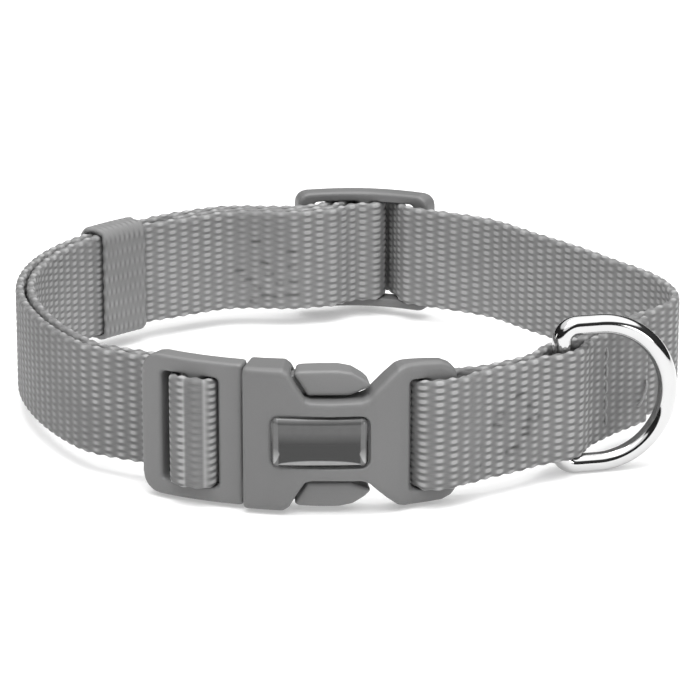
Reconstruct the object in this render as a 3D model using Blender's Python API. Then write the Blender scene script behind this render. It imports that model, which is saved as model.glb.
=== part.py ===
"""Dog collar: a doubled webbing strap on a side-release buckle, with a slider, a keeper and a ring.

Metres, +Z up. The collar stands on its edge, as a closed loop round the Z axis. The buckle is at
the front (-Y), the slider at the back (+Y) and the ring at the front right.

Everything but the ring is laid out flat and then wrapped onto the loop. In the flat layout X runs
along the loop, anticlockwise from above, Y points into the loop, and Z is up.
"""

import math

import bmesh
import bpy
import numpy as np
from mathutils import Matrix, Vector

MM = 0.001

# Strap
WEBBING_WIDTH = 15.0 * MM
WEBBING_THICKNESS = 1.3 * MM
WEBBING_EDGE = 0.35 * MM
LAYER_GAP = 0.3 * MM
FIT_GAP = 0.3 * MM
EASE_LENGTH = 14.0 * MM
BAR_EASE = 8.0 * MM
FLAP_END_EASE = 12.0 * MM
SIDE_BAR_LEAD = 0.6 * MM
BAR_LEAD = 0.8 * MM
BAR_LEVEL = 0.5 * MM
SLIDER_CROWN = 1.2 * MM
SLOT_PASS = 0.1 * MM
RING_EASE_SHARE = 2.6
SECOND_LAYER_LEAD = 0.5 * MM
FLAP_LEAD = 1.3 * MM
BUCKLE_FLAP_PAST_RING = 19.0 * MM
SLIDER_FLAP_LENGTH = 32.0 * MM

# Loop
LOOP_HALF_WIDTH = 48.0 * MM
LOOP_CENTRE = Vector((0.54 * MM, -1.47 * MM, 0.0))
BUCKLE_ANGLE = -95.4
SLIDER_ANGLE = 87.0

# Buckle, socket half
BUCKLE_HEIGHT = 20.2 * MM
SOCKET_LENGTH = 28.2 * MM
SOCKET_MOUTH_X = -9.8 * MM
SOCKET_DEPTH = 7.6 * MM
SOCKET_REAR_SHARE = 0.78
SHOULDER_REAR_SHARE = 0.45
SOCKET_EDGE = 0.9 * MM
SLOT_SIDE_GAP = 0.3 * MM
BAR_DEPTH = 3.2 * MM
BAR_WIDTH = 2.8 * MM
BAR_ROUND = 1.1 * MM
RIM_ROUND = 0.5 * MM
SLOT_CORNER = 0.6 * MM
SLOT_END_ROUND = 0.15 * MM
SOCKET_SLOT_WIDTH = 2.1 * MM
SOCKET_BAR_WIDTH = 4.2 * MM

# Buckle, prong half
PRONG_FRAME_LENGTH = 14.8 * MM
PRONG_FRAME_INSET = 0.05 * MM
PRONG_CORNER = 2.7 * MM
PRONG_JOINT_CORNER = 0.5 * MM
PRONG_WEB = 3.4 * MM
PRONG_SIDE_BAR = 3.2 * MM
PRONG_MIDDLE_BAR_FROM_WEB = 3.4 * MM
JOINT_LINE = 0.3 * MM
ARM_WIDTH = 2.6 * MM
ARM_DEPTH = 2.6 * MM
ARM_FOOT_STEP = 0.12 * MM
EAR_ROUND = 0.45 * MM
EAR_DEPTH = 4.2 * MM
EAR_START_FROM_MOUTH = 6.5 * MM
EAR_LENGTH = 10.0 * MM
EAR_RISE = 3.55 * MM
WAIST_GAP = 0.35 * MM

# Badge
BADGE_LENGTH = 12.3 * MM
BADGE_HEIGHT = 6.8 * MM
BADGE_THICKNESS = 1.0 * MM
BADGE_SEAT = 0.8 * MM
BADGE_CORNER = 0.9 * MM
BADGE_RIM_ROUND = 0.4 * MM

# Slider
SLIDER_LENGTH = 21.8 * MM
SLIDER_HEIGHT = 18.6 * MM
SLIDER_CORNER = 1.8 * MM
SLIDER_SIDE_BAR = 2.6 * MM

# Keeper
KEEPER_WIDTH = 8.6 * MM
KEEPER_THICKNESS = 0.85 * MM
KEEPER_SLACK = 0.32 * MM
KEEPER_FROM_FLAP = 10.8 * MM
KEEPER_CORNER = 0.8 * MM

# Ring
RING_WIRE = 2.7 * MM
RING_INNER_HEIGHT = 17.4 * MM
RING_REACH = 14.3 * MM
RING_CORNER = 2.2 * MM
RING_FROM_BUCKLE = 18.8 * MM
RING_TURN_FROM_STRAP = -34.0
RING_LOWER_GAP = 0.4 * MM

# The loop seen from above: angle from +X in degrees, and radius as a share of LOOP_HALF_WIDTH.
LOOP_ROWS = (
    (-180, 0.979),
    (-163, 0.954),
    (-145, 0.942),
    (-126, 0.946),
    (-109, 0.930),
    (-95, 0.905),
    (-81, 0.890),
    (-70, 0.886),
    (-58, 0.873),
    (-44, 0.860),
    (-30, 0.862),
    (-20, 0.906),
    (-8, 0.977),
    (4, 0.946),
    (20, 0.848),
    (42, 0.806),
    (58, 0.848),
    (72, 0.914),
    (87, 0.956),
    (104, 0.940),
    (120, 0.932),
    (135, 0.952),
    (152, 0.984),
    (166, 0.990),
)

# The socket along its length: place, half height and half depth at the front, each as a share of
# SOCKET_LENGTH, half of BUCKLE_HEIGHT and half of SOCKET_DEPTH.
SOCKET_ROWS = (
    (0.000, 0.985, 0.76),
    (0.012, 1.000, 0.79),
    (0.178, 1.000, 0.86),
    (0.206, 0.945, 0.88),
    (0.242, 0.760, 0.90),
    (0.280, 0.590, 0.93),
    (0.308, 0.565, 0.96),
    (0.400, 0.560, 1.00),
    (0.540, 0.570, 0.98),
    (0.575, 0.610, 0.95),
    (0.605, 0.700, 0.92),
    (0.660, 0.845, 0.82),
    (0.712, 0.965, 0.72),
    (0.742, 0.995, 0.62),
    (0.780, 1.000, 0.50),
    (0.850, 1.000, 0.42),
    (0.930, 0.985, 0.41),
    (0.975, 0.930, 0.40),
    (1.000, 0.850, 0.36),
)

# The upper ear of the prong half, from the tunnel round to its tip: place as a share of
# EAR_LENGTH, and height above the arm's foot as a share of EAR_RISE.
EAR_ROWS = (
    (-0.02, 0.88),
    (0.06, 0.97),
    (0.30, 1.00),
    (0.58, 1.00),
    (0.76, 0.90),
    (0.92, 0.62),
    (1.02, 0.34),
    (0.72, 0.00),
    (0.17, 0.00),
)


class Loop:
    """The closed middle line of the collar, measured along its length from the buckle's middle."""

    def __init__(self, samples=2880):
        angles = np.radians(np.linspace(-180.0, 180.0, samples, endpoint=False))
        radii = periodic_curve(LOOP_ROWS, np.degrees(angles)) * LOOP_HALF_WIDTH
        plan = np.stack([radii * np.cos(angles), radii * np.sin(angles)], axis=1)
        plan += np.array(LOOP_CENTRE.xy)
        ahead = np.roll(plan, -1, axis=0)
        steps = np.linalg.norm(ahead - plan, axis=1)
        self.length = float(steps.sum())
        self.places = np.concatenate([[0.0], np.cumsum(steps)])
        self.plan = np.vstack([plan, plan[:1]])
        along = ahead - np.roll(plan, 1, axis=0)
        along /= np.linalg.norm(along, axis=1)[:, None]
        outward = np.stack([along[:, 1], -along[:, 0]], axis=1)
        self.outward = np.vstack([outward, outward[:1]])
        self.angles = np.degrees(np.append(angles, math.pi))
        self.start = self.place_of_angle(BUCKLE_ANGLE)

    def place_of_angle(self, angle):
        """The distance along the loop from its -180 degree end to this angle."""
        return float(np.interp(angle, self.angles, self.places))

    def at(self, place):
        """The plan point and the outward direction at a distance from the buckle's middle."""
        where = (self.start + place) % self.length
        point = [np.interp(where, self.places, self.plan[:, axis]) for axis in (0, 1)]
        out = [np.interp(where, self.places, self.outward[:, axis]) for axis in (0, 1)]
        return Vector(point), Vector(out).normalized()

    def wrap(self, place, outward, height):
        """The point of the collar that lies this far along, outward and up."""
        point, out = self.at(place)
        return Vector((*(point + out * outward), height))


def periodic_curve(rows, wanted):
    """A smooth closed curve through rows of (degrees, value), read at the wanted angles."""
    table = np.array(rows, float)
    x = np.concatenate([table[-2:, 0] - 360, table[:, 0], table[:2, 0] + 360])
    y = np.concatenate([table[-2:, 1], table[:, 1], table[:2, 1]])
    slopes = np.zeros_like(y)
    slopes[1:-1] = (y[2:] - y[:-2]) / (x[2:] - x[:-2])
    at = np.clip(np.searchsorted(x, wanted, side="right") - 1, 1, len(x) - 3)
    span = x[at + 1] - x[at]
    t = (wanted - x[at]) / span
    return (
        y[at] * (2 * t**3 - 3 * t**2 + 1)
        + y[at + 1] * (3 * t**2 - 2 * t**3)
        + slopes[at] * span * (t**3 - 2 * t**2 + t)
        + slopes[at + 1] * span * (t**3 - t**2)
    )


# Sizes that follow from the ones above

HALF_WEB = WEBBING_WIDTH / 2
LAYER_PITCH = WEBBING_THICKNESS + LAYER_GAP
WRAP_RADIUS = BAR_DEPTH / 2 + FIT_GAP + WEBBING_THICKNESS / 2
SLOT_HEIGHT = WEBBING_WIDTH + 2 * SLOT_SIDE_GAP
SOCKET_END_X = SOCKET_MOUTH_X + SOCKET_LENGTH
SOCKET_SLOT_END_X = SOCKET_END_X - SOCKET_BAR_WIDTH
SOCKET_BAR_X = SOCKET_SLOT_END_X + BAR_DEPTH / 2
PRONG_FRAME_HEIGHT = BUCKLE_HEIGHT - 2 * PRONG_FRAME_INSET
PRONG_RIGHT_X = SOCKET_MOUTH_X - JOINT_LINE
PRONG_LEFT_X = PRONG_RIGHT_X - PRONG_FRAME_LENGTH
PRONG_BAR_X = PRONG_RIGHT_X - PRONG_WEB - PRONG_MIDDLE_BAR_FROM_WEB
WAIST_HALF_HEIGHT = 0.57 * BUCKLE_HEIGHT / 2
RING_PLACE = SOCKET_END_X + RING_FROM_BUCKLE
RING_HALF_HEIGHT = (RING_INNER_HEIGHT + RING_WIRE) / 2
RING_RAISE = RING_INNER_HEIGHT / 2 - HALF_WEB - RING_LOWER_GAP
MIDDLE_HEIGHT = max(RING_HALF_HEIGHT + RING_WIRE / 2 - RING_RAISE, BUCKLE_HEIGHT / 2)


def eased(rows, step=0.4 * MM):
    """Points through rows of (place, outward), level at each row."""
    points = []
    for (place_a, out_a), (place_b, out_b) in zip(rows, rows[1:]):
        count = max(2, round(abs(place_b - place_a) / step))
        for index in range(count):
            t = index / count
            ease = t * t * (3 - 2 * t)
            points.append((place_a + (place_b - place_a) * t, out_a + (out_b - out_a) * ease))
    points.append(rows[-1])
    return points


def turned(place, radius, side, first, count=10):
    """A half turn about a bar at this place, bulging to one side, that starts outward by first."""
    points = []
    for index in range(1, count):
        angle = math.pi * index / count
        points.append((place + side * radius * math.sin(angle), first * radius * math.cos(angle)))
    return points


def strap_route(loop):
    """The strap's middle line as (place, outward) points, from its front end to its back end."""
    half = LAYER_PITCH / 2
    wrap = WRAP_RADIUS
    ring = RING_WIRE / 2 + FIT_GAP + WEBBING_THICKNESS / 2
    ring_ease = RING_EASE_SHARE * ring
    flap_end = RING_PLACE + BUCKLE_FLAP_PAST_RING
    slider = (loop.place_of_angle(SLIDER_ANGLE) - loop.start) % loop.length
    side_bar = SLIDER_LENGTH / 2
    slot_start = side_bar - SLIDER_SIDE_BAR + SLOT_PASS
    inner_edge = slider + side_bar - SLIDER_SIDE_BAR
    over = wrap + LAYER_PITCH
    flap_top = SLIDER_FLAP_LENGTH
    prong_bar = loop.length + PRONG_BAR_X
    prong_end = loop.length + PRONG_LEFT_X
    inner_face = prong_end + PRONG_SIDE_BAR - SLOT_PASS

    front_flap = eased(
        (
            (flap_end, half),
            (RING_PLACE + ring_ease, half),
            (RING_PLACE, ring),
            (RING_PLACE - ring_ease, half),
            (SOCKET_BAR_X + BAR_EASE, half),
            (SOCKET_BAR_X, wrap),
        )
    )
    front_turn = turned(SOCKET_BAR_X, wrap, -1, 1)
    main = eased(
        (
            (SOCKET_BAR_X, -wrap),
            (SOCKET_BAR_X + BAR_EASE, -half),
            (RING_PLACE - ring_ease, -half),
            (RING_PLACE, -ring),
            (RING_PLACE + ring_ease, -half),
            (flap_end, -half),
            (flap_end + FLAP_END_EASE, 0.0),
            (slider - side_bar - EASE_LENGTH, 0.0),
            (slider - side_bar - SIDE_BAR_LEAD, -wrap),
            (slider - slot_start, -wrap),
            (slider - SLIDER_CROWN, over),
            (slider + SLIDER_CROWN, over),
            (slider + slot_start, -wrap),
            (slider + side_bar + SIDE_BAR_LEAD, -wrap),
            (slider + side_bar + EASE_LENGTH, LAYER_PITCH),
            (slider + flap_top, LAYER_PITCH),
            (slider + flap_top + BAR_EASE, half),
            (prong_end - EASE_LENGTH, half),
            (prong_end - SIDE_BAR_LEAD, -wrap),
            (inner_face, -wrap),
            (prong_bar - BAR_LEAD, wrap),
            (prong_bar, wrap),
        )
    )
    prong_turn = turned(prong_bar, wrap, 1, 1)
    back = eased(
        (
            (prong_bar, -wrap),
            (prong_bar - BAR_LEVEL, -wrap),
            (prong_end + PRONG_SIDE_BAR + SECOND_LAYER_LEAD, -wrap - LAYER_PITCH),
            (prong_end - SIDE_BAR_LEAD, -wrap - LAYER_PITCH),
            (prong_end - EASE_LENGTH, -half),
            (slider + flap_top + BAR_EASE, -half),
            (slider + flap_top, -LAYER_PITCH),
            (slider + side_bar + EASE_LENGTH, -LAYER_PITCH),
            (slider + side_bar + SIDE_BAR_LEAD, -wrap - 2 * LAYER_PITCH),
            (inner_edge - FLAP_LEAD, -wrap - 2 * LAYER_PITCH),
            (slider + BAR_LEVEL, -wrap),
            (slider, -wrap),
        )
    )
    slider_turn = turned(slider, wrap, -1, -1)
    slider_flap = eased(
        (
            (slider, wrap),
            (slider + BAR_LEVEL, wrap),
            (inner_edge - FLAP_LEAD, -wrap - LAYER_PITCH),
            (slider + side_bar + SIDE_BAR_LEAD, -wrap - LAYER_PITCH),
            (slider + side_bar + EASE_LENGTH, 0.0),
            (slider + flap_top, 0.0),
        )
    )
    return front_flap + front_turn + main + prong_turn + back + slider_turn + slider_flap


def thinned(points, most_turn=math.radians(7.0), most_step=5.0 * MM):
    """The points that a smooth line needs: each place where it has turned or run on enough."""
    kept = [points[0]]
    heading = points[1] - points[0]
    for here, ahead in zip(points[1:], points[2:]):
        onward = ahead - here
        if onward.length < 1e-7:
            continue
        far = (here - kept[-1]).length >= most_step
        if far or heading.angle(onward, 0.0) >= most_turn:
            kept.append(here)
            heading = onward
    kept.append(points[-1])
    return kept


def webbing_section(width, thickness, edge):
    """Corners of a strap's cross-section as (across, up), with its four edges cut off."""
    a, b = thickness / 2, width / 2
    return (
        (a, -b + edge),
        (a, b - edge),
        (a - edge, b),
        (edge - a, b),
        (-a, b - edge),
        (-a, edge - b),
        (edge - a, -b),
        (a - edge, -b),
    )


def strap_mesh(loop):
    """The whole strap as one swept solid."""
    middle = thinned([loop.wrap(place, out, 0.0) for place, out in strap_route(loop)])
    section = webbing_section(WEBBING_WIDTH, WEBBING_THICKNESS, WEBBING_EDGE)
    bm = bmesh.new()
    rings = []
    for index, point in enumerate(middle):
        before = middle[max(index - 1, 0)]
        after = middle[min(index + 1, len(middle) - 1)]
        along = ((point - before).normalized() + (after - point).normalized()).normalized()
        across = Vector((along.y, -along.x, 0.0))
        rings.append([bm.verts.new(point + across * a + Vector((0, 0, b))) for a, b in section])
    loft(bm, rings)
    return finished(bm)


def loft(bm, rings):
    """Skins rows of points, each a closed ring, and closes both ends."""
    count = len(rings[0])
    for ring, following in zip(rings, rings[1:]):
        for index in range(count):
            after = (index + 1) % count
            bm.faces.new((ring[index], ring[after], following[after], following[index]))
    bm.faces.new(rings[0][::-1])
    bm.faces.new(rings[-1])


def finished(bm):
    """A mesh of this bmesh, with its faces turned outward and round stretches shaded smooth."""
    bmesh.ops.recalc_face_normals(bm, faces=bm.faces[:])
    if bm.calc_volume(signed=True) < 0:
        bmesh.ops.reverse_faces(bm, faces=bm.faces[:])
    mesh = bpy.data.meshes.new("shape")
    bm.to_mesh(mesh)
    bm.free()
    mesh.shade_smooth()
    mesh.set_sharp_from_angle(angle=math.radians(35))
    return mesh


def carved(mesh, others, operation):
    """This mesh with each of the others cut from it, or joined to it."""
    body = bpy.data.objects.new("body", mesh)
    bpy.context.collection.objects.link(body)
    helpers = []
    for other in others:
        helper = bpy.data.objects.new("helper", other)
        bpy.context.collection.objects.link(helper)
        modifier = body.modifiers.new("carve", "BOOLEAN")
        modifier.operation = operation
        modifier.object = helper
        helpers.append(helper)
    graph = bpy.context.evaluated_depsgraph_get()
    result = bpy.data.meshes.new_from_object(body.evaluated_get(graph))
    for obj in [body, *helpers]:
        bpy.data.objects.remove(obj)
    return result


def wrapped(mesh, loop, place, step=2.0 * MM):
    """A flat shape wrapped onto the loop, with its own X zero at this place."""
    bm = bmesh.new()
    bm.from_mesh(mesh)
    low = min(vert.co.x for vert in bm.verts)
    high = max(vert.co.x for vert in bm.verts)
    count = max(2, math.ceil((high - low) / step))
    for index in range(1, count):
        everything = bm.verts[:] + bm.edges[:] + bm.faces[:]
        cut = Vector((low + (high - low) * index / count, 0, 0))
        bmesh.ops.bisect_plane(bm, geom=everything, dist=1e-6, plane_co=cut, plane_no=(1, 0, 0))
    bmesh.ops.triangulate(bm, faces=bm.faces[:])
    for vert in bm.verts:
        vert.co = loop.wrap(place + vert.co.x, -vert.co.y, vert.co.z)
    return finished(bm)


def frame_plate(length, height, holes, corners):
    """A flat frame from X zero to length. Each hole is a slot's start and end with their rounds."""
    outline = []
    first, last = corners
    for x, z, start, corner in (
        (length, 1, 0, last),
        (0.0, 1, 90, first),
        (0.0, -1, 180, first),
        (length, -1, 270, last),
    ):
        centre = (x - math.copysign(corner, x - length / 2), z * (height / 2 - corner))
        outline += arc(*centre, corner, start, start + 90, 4)
    plate = extruded_outline(outline, BAR_DEPTH, RIM_ROUND)
    return carved(plate, [strap_slot(*hole, BAR_DEPTH) for hole in holes], "DIFFERENCE")


def strap_slot(start, end, start_round, end_round, depth):
    """The cutter of a strap slot through a plate. It flares, so that what it leaves is rounded."""
    bm = bmesh.new()
    levels = [depth / 2 + MM, depth / 2, depth / 2 - 0.35 * BAR_ROUND, depth / 2 - BAR_ROUND]
    rings = []
    for y in [-level for level in levels] + levels[::-1]:
        low = start - flare(y, depth, start_round)
        high = end + flare(y, depth, end_round)
        half_height = SLOT_HEIGHT / 2 + flare(y, depth, SLOT_END_ROUND)
        rings.append(slot_ring(bm, low, high, half_height, y))
    loft(bm, rings)
    return finished(bm)


def flare(y, depth, radius):
    """How much wider a slot is at this depth, where its rim has this radius."""
    into = min(max(abs(y) - (depth / 2 - radius), 0.0), 0.97 * radius)
    return radius - math.sqrt(radius**2 - into**2)


def slot_ring(bm, start, end, half_height, y):
    """One rounded rectangle of a slot's cutter, at this depth."""
    middle = (start + end) / 2
    outline = rounded_rectangle(start - middle, end - middle, half_height, SLOT_CORNER)
    return [bm.verts.new((middle + x, y, z)) for x, z in outline]


def rim_edges(bm, depth):
    """The edges round the plate's two faces, outside and in its slots."""
    found = []
    for edge in bm.edges:
        flat = all(abs(abs(vert.co.y) - depth / 2) < 1e-6 for vert in edge.verts)
        if flat and len(edge.link_faces) == 2 and edge.calc_face_angle(0) > math.radians(60):
            found.append(edge)
    return found


def bevel(bm, edges, width, segments):
    """Rounds these edges."""
    bmesh.ops.bevel(
        bm,
        geom=edges,
        offset=width,
        offset_type="OFFSET",
        segments=segments,
        profile=0.5,
        affect="EDGES",
        clamp_overlap=True,
        material=-1,
    )


def rounded_box(low, high, round_edges, segments=2, axis=None):
    """A box with rounded edges: all of them, or only those that run along one axis."""
    low, high = Vector(low), Vector(high)
    bm = bmesh.new()
    bmesh.ops.create_cube(bm, size=1.0)
    for vert in bm.verts:
        vert.co = Vector([low[i] + (vert.co[i] + 0.5) * (high[i] - low[i]) for i in range(3)])
    edges = bm.edges[:]
    if axis is not None:
        edges = [
            edge
            for edge in edges
            if abs((edge.verts[0].co - edge.verts[1].co).normalized()[axis]) > 0.99
        ]
    if round_edges:
        bevel(bm, edges, round_edges, segments)
    return finished(bm)


def extruded_outline(points, depth, edge):
    """An outline of (x, z) points given a depth along Y, with its two rims rounded."""
    bm = bmesh.new()
    face = bm.faces.new([bm.verts.new((x, depth / 2, z)) for x, z in points])
    made = bmesh.ops.extrude_face_region(bm, geom=[face])["geom"]
    moved = [item for item in made if isinstance(item, bmesh.types.BMVert)]
    bmesh.ops.translate(bm, verts=moved, vec=(0, -depth, 0))
    bmesh.ops.recalc_face_normals(bm, faces=bm.faces[:])
    if edge:
        bevel(bm, rim_edges(bm, depth), edge, 2)
    return finished(bm)


def socket_flat():
    """The socket half: a waisted body with two tunnels, a badge seat and a slot for the strap."""
    bm = bmesh.new()
    rings = []
    for place, height, depth in SOCKET_ROWS:
        x = SOCKET_MOUTH_X + place * SOCKET_LENGTH
        half_height = height * BUCKLE_HEIGHT / 2
        front = depth * SOCKET_DEPTH / 2
        rear_share = SHOULDER_REAR_SHARE if place > 0.5 else SOCKET_REAR_SHARE
        rear = min(front, rear_share * SOCKET_DEPTH / 2)
        edge = min(SOCKET_EDGE, 0.7 * rear)
        outline = rounded_rectangle(-front, rear, half_height, edge)
        rings.append([bm.verts.new((x, y, z)) for y, z in outline])
    loft(bm, rings)
    slot_start = SOCKET_SLOT_END_X - SOCKET_SLOT_WIDTH
    cutters = [strap_slot(slot_start, SOCKET_SLOT_END_X, RIM_ROUND, BAR_ROUND, BAR_DEPTH)]
    cutters += [tunnel(side) for side in (1, -1)]
    cutters.append(badge_box(FIT_GAP, BADGE_SEAT + SOCKET_DEPTH))
    return carved(finished(bm), cutters, "DIFFERENCE")


def rounded_rectangle(low, high, half_height, edge, steps=2):
    """Points of a rectangle in (y, z) with rounded corners."""
    corners = ((high, half_height, 0), (low, half_height, 90), (low, -half_height, 180))
    points = []
    for y, z, start in (*corners, (high, -half_height, 270)):
        centre = (y - math.copysign(edge, y), z - math.copysign(edge, z))
        for index in range(steps + 1):
            angle = math.radians(start + 90 * index / steps)
            points.append((centre[0] + edge * math.cos(angle), centre[1] + edge * math.sin(angle)))
    return points


def tunnel(side):
    """The cutter that an arm of the prong half passes through, above or below the middle."""
    foot = WAIST_HALF_HEIGHT + WAIST_GAP
    near, far = foot - FIT_GAP, foot + ARM_WIDTH + FIT_GAP
    low_z, high_z = sorted((side * near, side * far))
    half = ARM_DEPTH / 2 + FIT_GAP
    end = SOCKET_MOUTH_X + EAR_START_FROM_MOUTH + 0.2 * EAR_LENGTH
    return rounded_box((SOCKET_MOUTH_X - MM, -half, low_z), (end, half, high_z), 0.0)


def badge_box(gap, reach):
    """The box that the badge, or with a gap its seat, takes up in the flat layout."""
    front = SOCKET_DEPTH / 2
    back = -(front - BADGE_SEAT)
    half_x, half_z = BADGE_LENGTH / 2 + gap, BADGE_HEIGHT / 2 + gap
    low = (-half_x, back - reach, -half_z)
    high = (half_x, back, half_z)
    return rounded_box(low, high, BADGE_CORNER + gap, 3, axis=1)


def badge_flat():
    """The bare badge: a low plate with a rounded front rim."""
    front = SOCKET_DEPTH / 2
    back = -(front - BADGE_SEAT) - FIT_GAP
    half_x, half_z = BADGE_LENGTH / 2, BADGE_HEIGHT / 2
    low = (-half_x, back - BADGE_THICKNESS, -half_z)
    mesh = rounded_box(low, (half_x, back, half_z), BADGE_CORNER, 3, axis=1)
    bm = bmesh.new()
    bm.from_mesh(mesh)
    rim = [
        edge
        for edge in bm.edges
        if all(abs(vert.co.y - low[1]) < 1e-6 for vert in edge.verts)
    ]
    bevel(bm, rim, BADGE_RIM_ROUND, 2)
    return finished(bm)


def prong_flat():
    """The prong half: a strap frame with a middle bar, and two arms that end in ears."""
    window_start = PRONG_SIDE_BAR
    window_end = PRONG_FRAME_LENGTH - PRONG_WEB
    bar = PRONG_BAR_X - PRONG_LEFT_X
    holes = (
        (window_start, bar - BAR_WIDTH / 2, RIM_ROUND, BAR_ROUND),
        (bar + BAR_WIDTH / 2, window_end, BAR_ROUND, RIM_ROUND),
    )
    corners = (PRONG_CORNER, PRONG_JOINT_CORNER)
    frame = frame_plate(PRONG_FRAME_LENGTH, PRONG_FRAME_HEIGHT, holes, corners)
    frame.transform(Matrix.Translation((PRONG_LEFT_X, 0, 0)))
    return carved(frame, [piece for side in (1, -1) for piece in arm(side)], "UNION")


def arm(side):
    """One spring arm and its ear, above or below the middle."""
    foot = WAIST_HALF_HEIGHT + WAIST_GAP
    start = PRONG_RIGHT_X - PRONG_WEB / 2
    ear_start = SOCKET_MOUTH_X + EAR_START_FROM_MOUTH
    reach = ear_start + EAR_LENGTH * 0.3
    low, high = foot + ARM_FOOT_STEP, foot + ARM_WIDTH
    beam = [(start, low), (reach, low), (reach, high), (start, high)]
    ear = [(ear_start + x * EAR_LENGTH, foot + z * EAR_RISE) for x, z in EAR_ROWS]
    pieces = []
    for outline, depth, edge in ((beam, ARM_DEPTH, 0.0), (ear, EAR_DEPTH, EAR_ROUND)):
        pieces.append(extruded_outline([(x, side * z) for x, z in outline], depth, edge))
    return pieces


def slider_flat():
    """The slider: a rounded frame with a middle bar, centred on X."""
    half = SLIDER_LENGTH / 2
    inner = SLIDER_LENGTH - SLIDER_SIDE_BAR
    holes = (
        (SLIDER_SIDE_BAR, half - BAR_WIDTH / 2, RIM_ROUND, BAR_ROUND),
        (half + BAR_WIDTH / 2, inner, BAR_ROUND, RIM_ROUND),
    )
    mesh = frame_plate(SLIDER_LENGTH, SLIDER_HEIGHT, holes, (SLIDER_CORNER, SLIDER_CORNER))
    mesh.transform(Matrix.Translation((-half, 0, 0)))
    return mesh


def keeper_flat():
    """The keeper: a flat band closed round the doubled strap."""
    inner_y = LAYER_PITCH / 2 + WEBBING_THICKNESS / 2 + KEEPER_SLACK
    inner_z = HALF_WEB + KEEPER_SLACK
    inner = rounded_rectangle(-inner_y, inner_y, inner_z, KEEPER_CORNER, 3)
    wall = KEEPER_THICKNESS
    outer_y, outer_corner = inner_y + wall, KEEPER_CORNER + wall
    outer = rounded_rectangle(-outer_y, outer_y, inner_z + wall, outer_corner, 3)
    bm = bmesh.new()
    half = KEEPER_WIDTH / 2
    rings = [
        [bm.verts.new((x, y, z)) for y, z in outline]
        for x, outline in ((-half, inner), (-half, outer), (half, outer), (half, inner))
    ]
    count = len(inner)
    for ring, following in zip(rings, rings[1:] + rings[:1]):
        for index in range(count):
            after = (index + 1) % count
            bm.faces.new((ring[index], ring[after], following[after], following[index]))
    return finished(bm)


def ring_outline():
    """The ring's wire line in its own plane, as (reach, up) points from the middle of its bar."""
    round_radius = RING_HALF_HEIGHT
    straight = RING_REACH - round_radius
    corner = RING_CORNER
    points = [(0.0, 0.0), (0.0, RING_HALF_HEIGHT - corner)]
    points += arc(corner, RING_HALF_HEIGHT - corner, corner, 180, 90, 4)
    points += arc(straight, 0.0, round_radius, 90, -90, 18)
    points += arc(corner, corner - RING_HALF_HEIGHT, corner, -90, -180, 4)
    return points


def arc(x, z, radius, start, end, count):
    """Points along an arc, both ends included."""
    angles = [math.radians(start + (end - start) * index / count) for index in range(count + 1)]
    return [(x + radius * math.cos(angle), z + radius * math.sin(angle)) for angle in angles]


def add_ring(loop, material, collection):
    """The ring: a closed wire whose straight bar is sewn in, with its origin on that bar."""
    outline = []
    for point in ring_outline():
        if not outline or (Vector(point) - Vector(outline[-1])).length > 0.05 * MM:
            outline.append(point)
    curve = bpy.data.curves.new("d_ring", "CURVE")
    curve.dimensions = "3D"
    curve.bevel_depth = RING_WIRE / 2
    curve.bevel_resolution = 4
    spline = curve.splines.new("POLY")
    spline.points.add(len(outline) - 1)
    for spot, (reach, up) in zip(spline.points, outline):
        spot.co = (reach, 0.0, up, 1.0)
    spline.use_cyclic_u = True
    guide = bpy.data.objects.new("ring_guide", curve)
    collection.objects.link(guide)
    graph = bpy.context.evaluated_depsgraph_get()
    mesh = bpy.data.meshes.new_from_object(guide.evaluated_get(graph))
    bpy.data.objects.remove(guide)
    bm = bmesh.new()
    bm.from_mesh(mesh)
    bmesh.ops.remove_doubles(bm, verts=bm.verts[:], dist=1e-6)
    ring = add_object("d_ring", finished(bm), material, collection)
    point, out = loop.at(RING_PLACE)
    along = math.atan2(out.x, -out.y)
    ring.location = (point.x, point.y, MIDDLE_HEIGHT + RING_RAISE)
    ring.rotation_euler = (0, 0, along + math.radians(RING_TURN_FROM_STRAP))


def make_material(name, colour, roughness, metallic=0.0):
    """A plain Principled material."""
    material = bpy.data.materials.new(name)
    material.use_nodes = True
    shader = material.node_tree.nodes["Principled BSDF"]
    shader.inputs["Base Color"].default_value = (*colour, 1.0)
    shader.inputs["Roughness"].default_value = roughness
    shader.inputs["Metallic"].default_value = metallic
    return material


def add_object(name, mesh, material, collection):
    """A finished piece in the collar's collection."""
    mesh.name = name
    mesh.materials.clear()
    mesh.materials.append(material)
    obj = bpy.data.objects.new(name, mesh)
    collection.objects.link(obj)
    return obj


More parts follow.
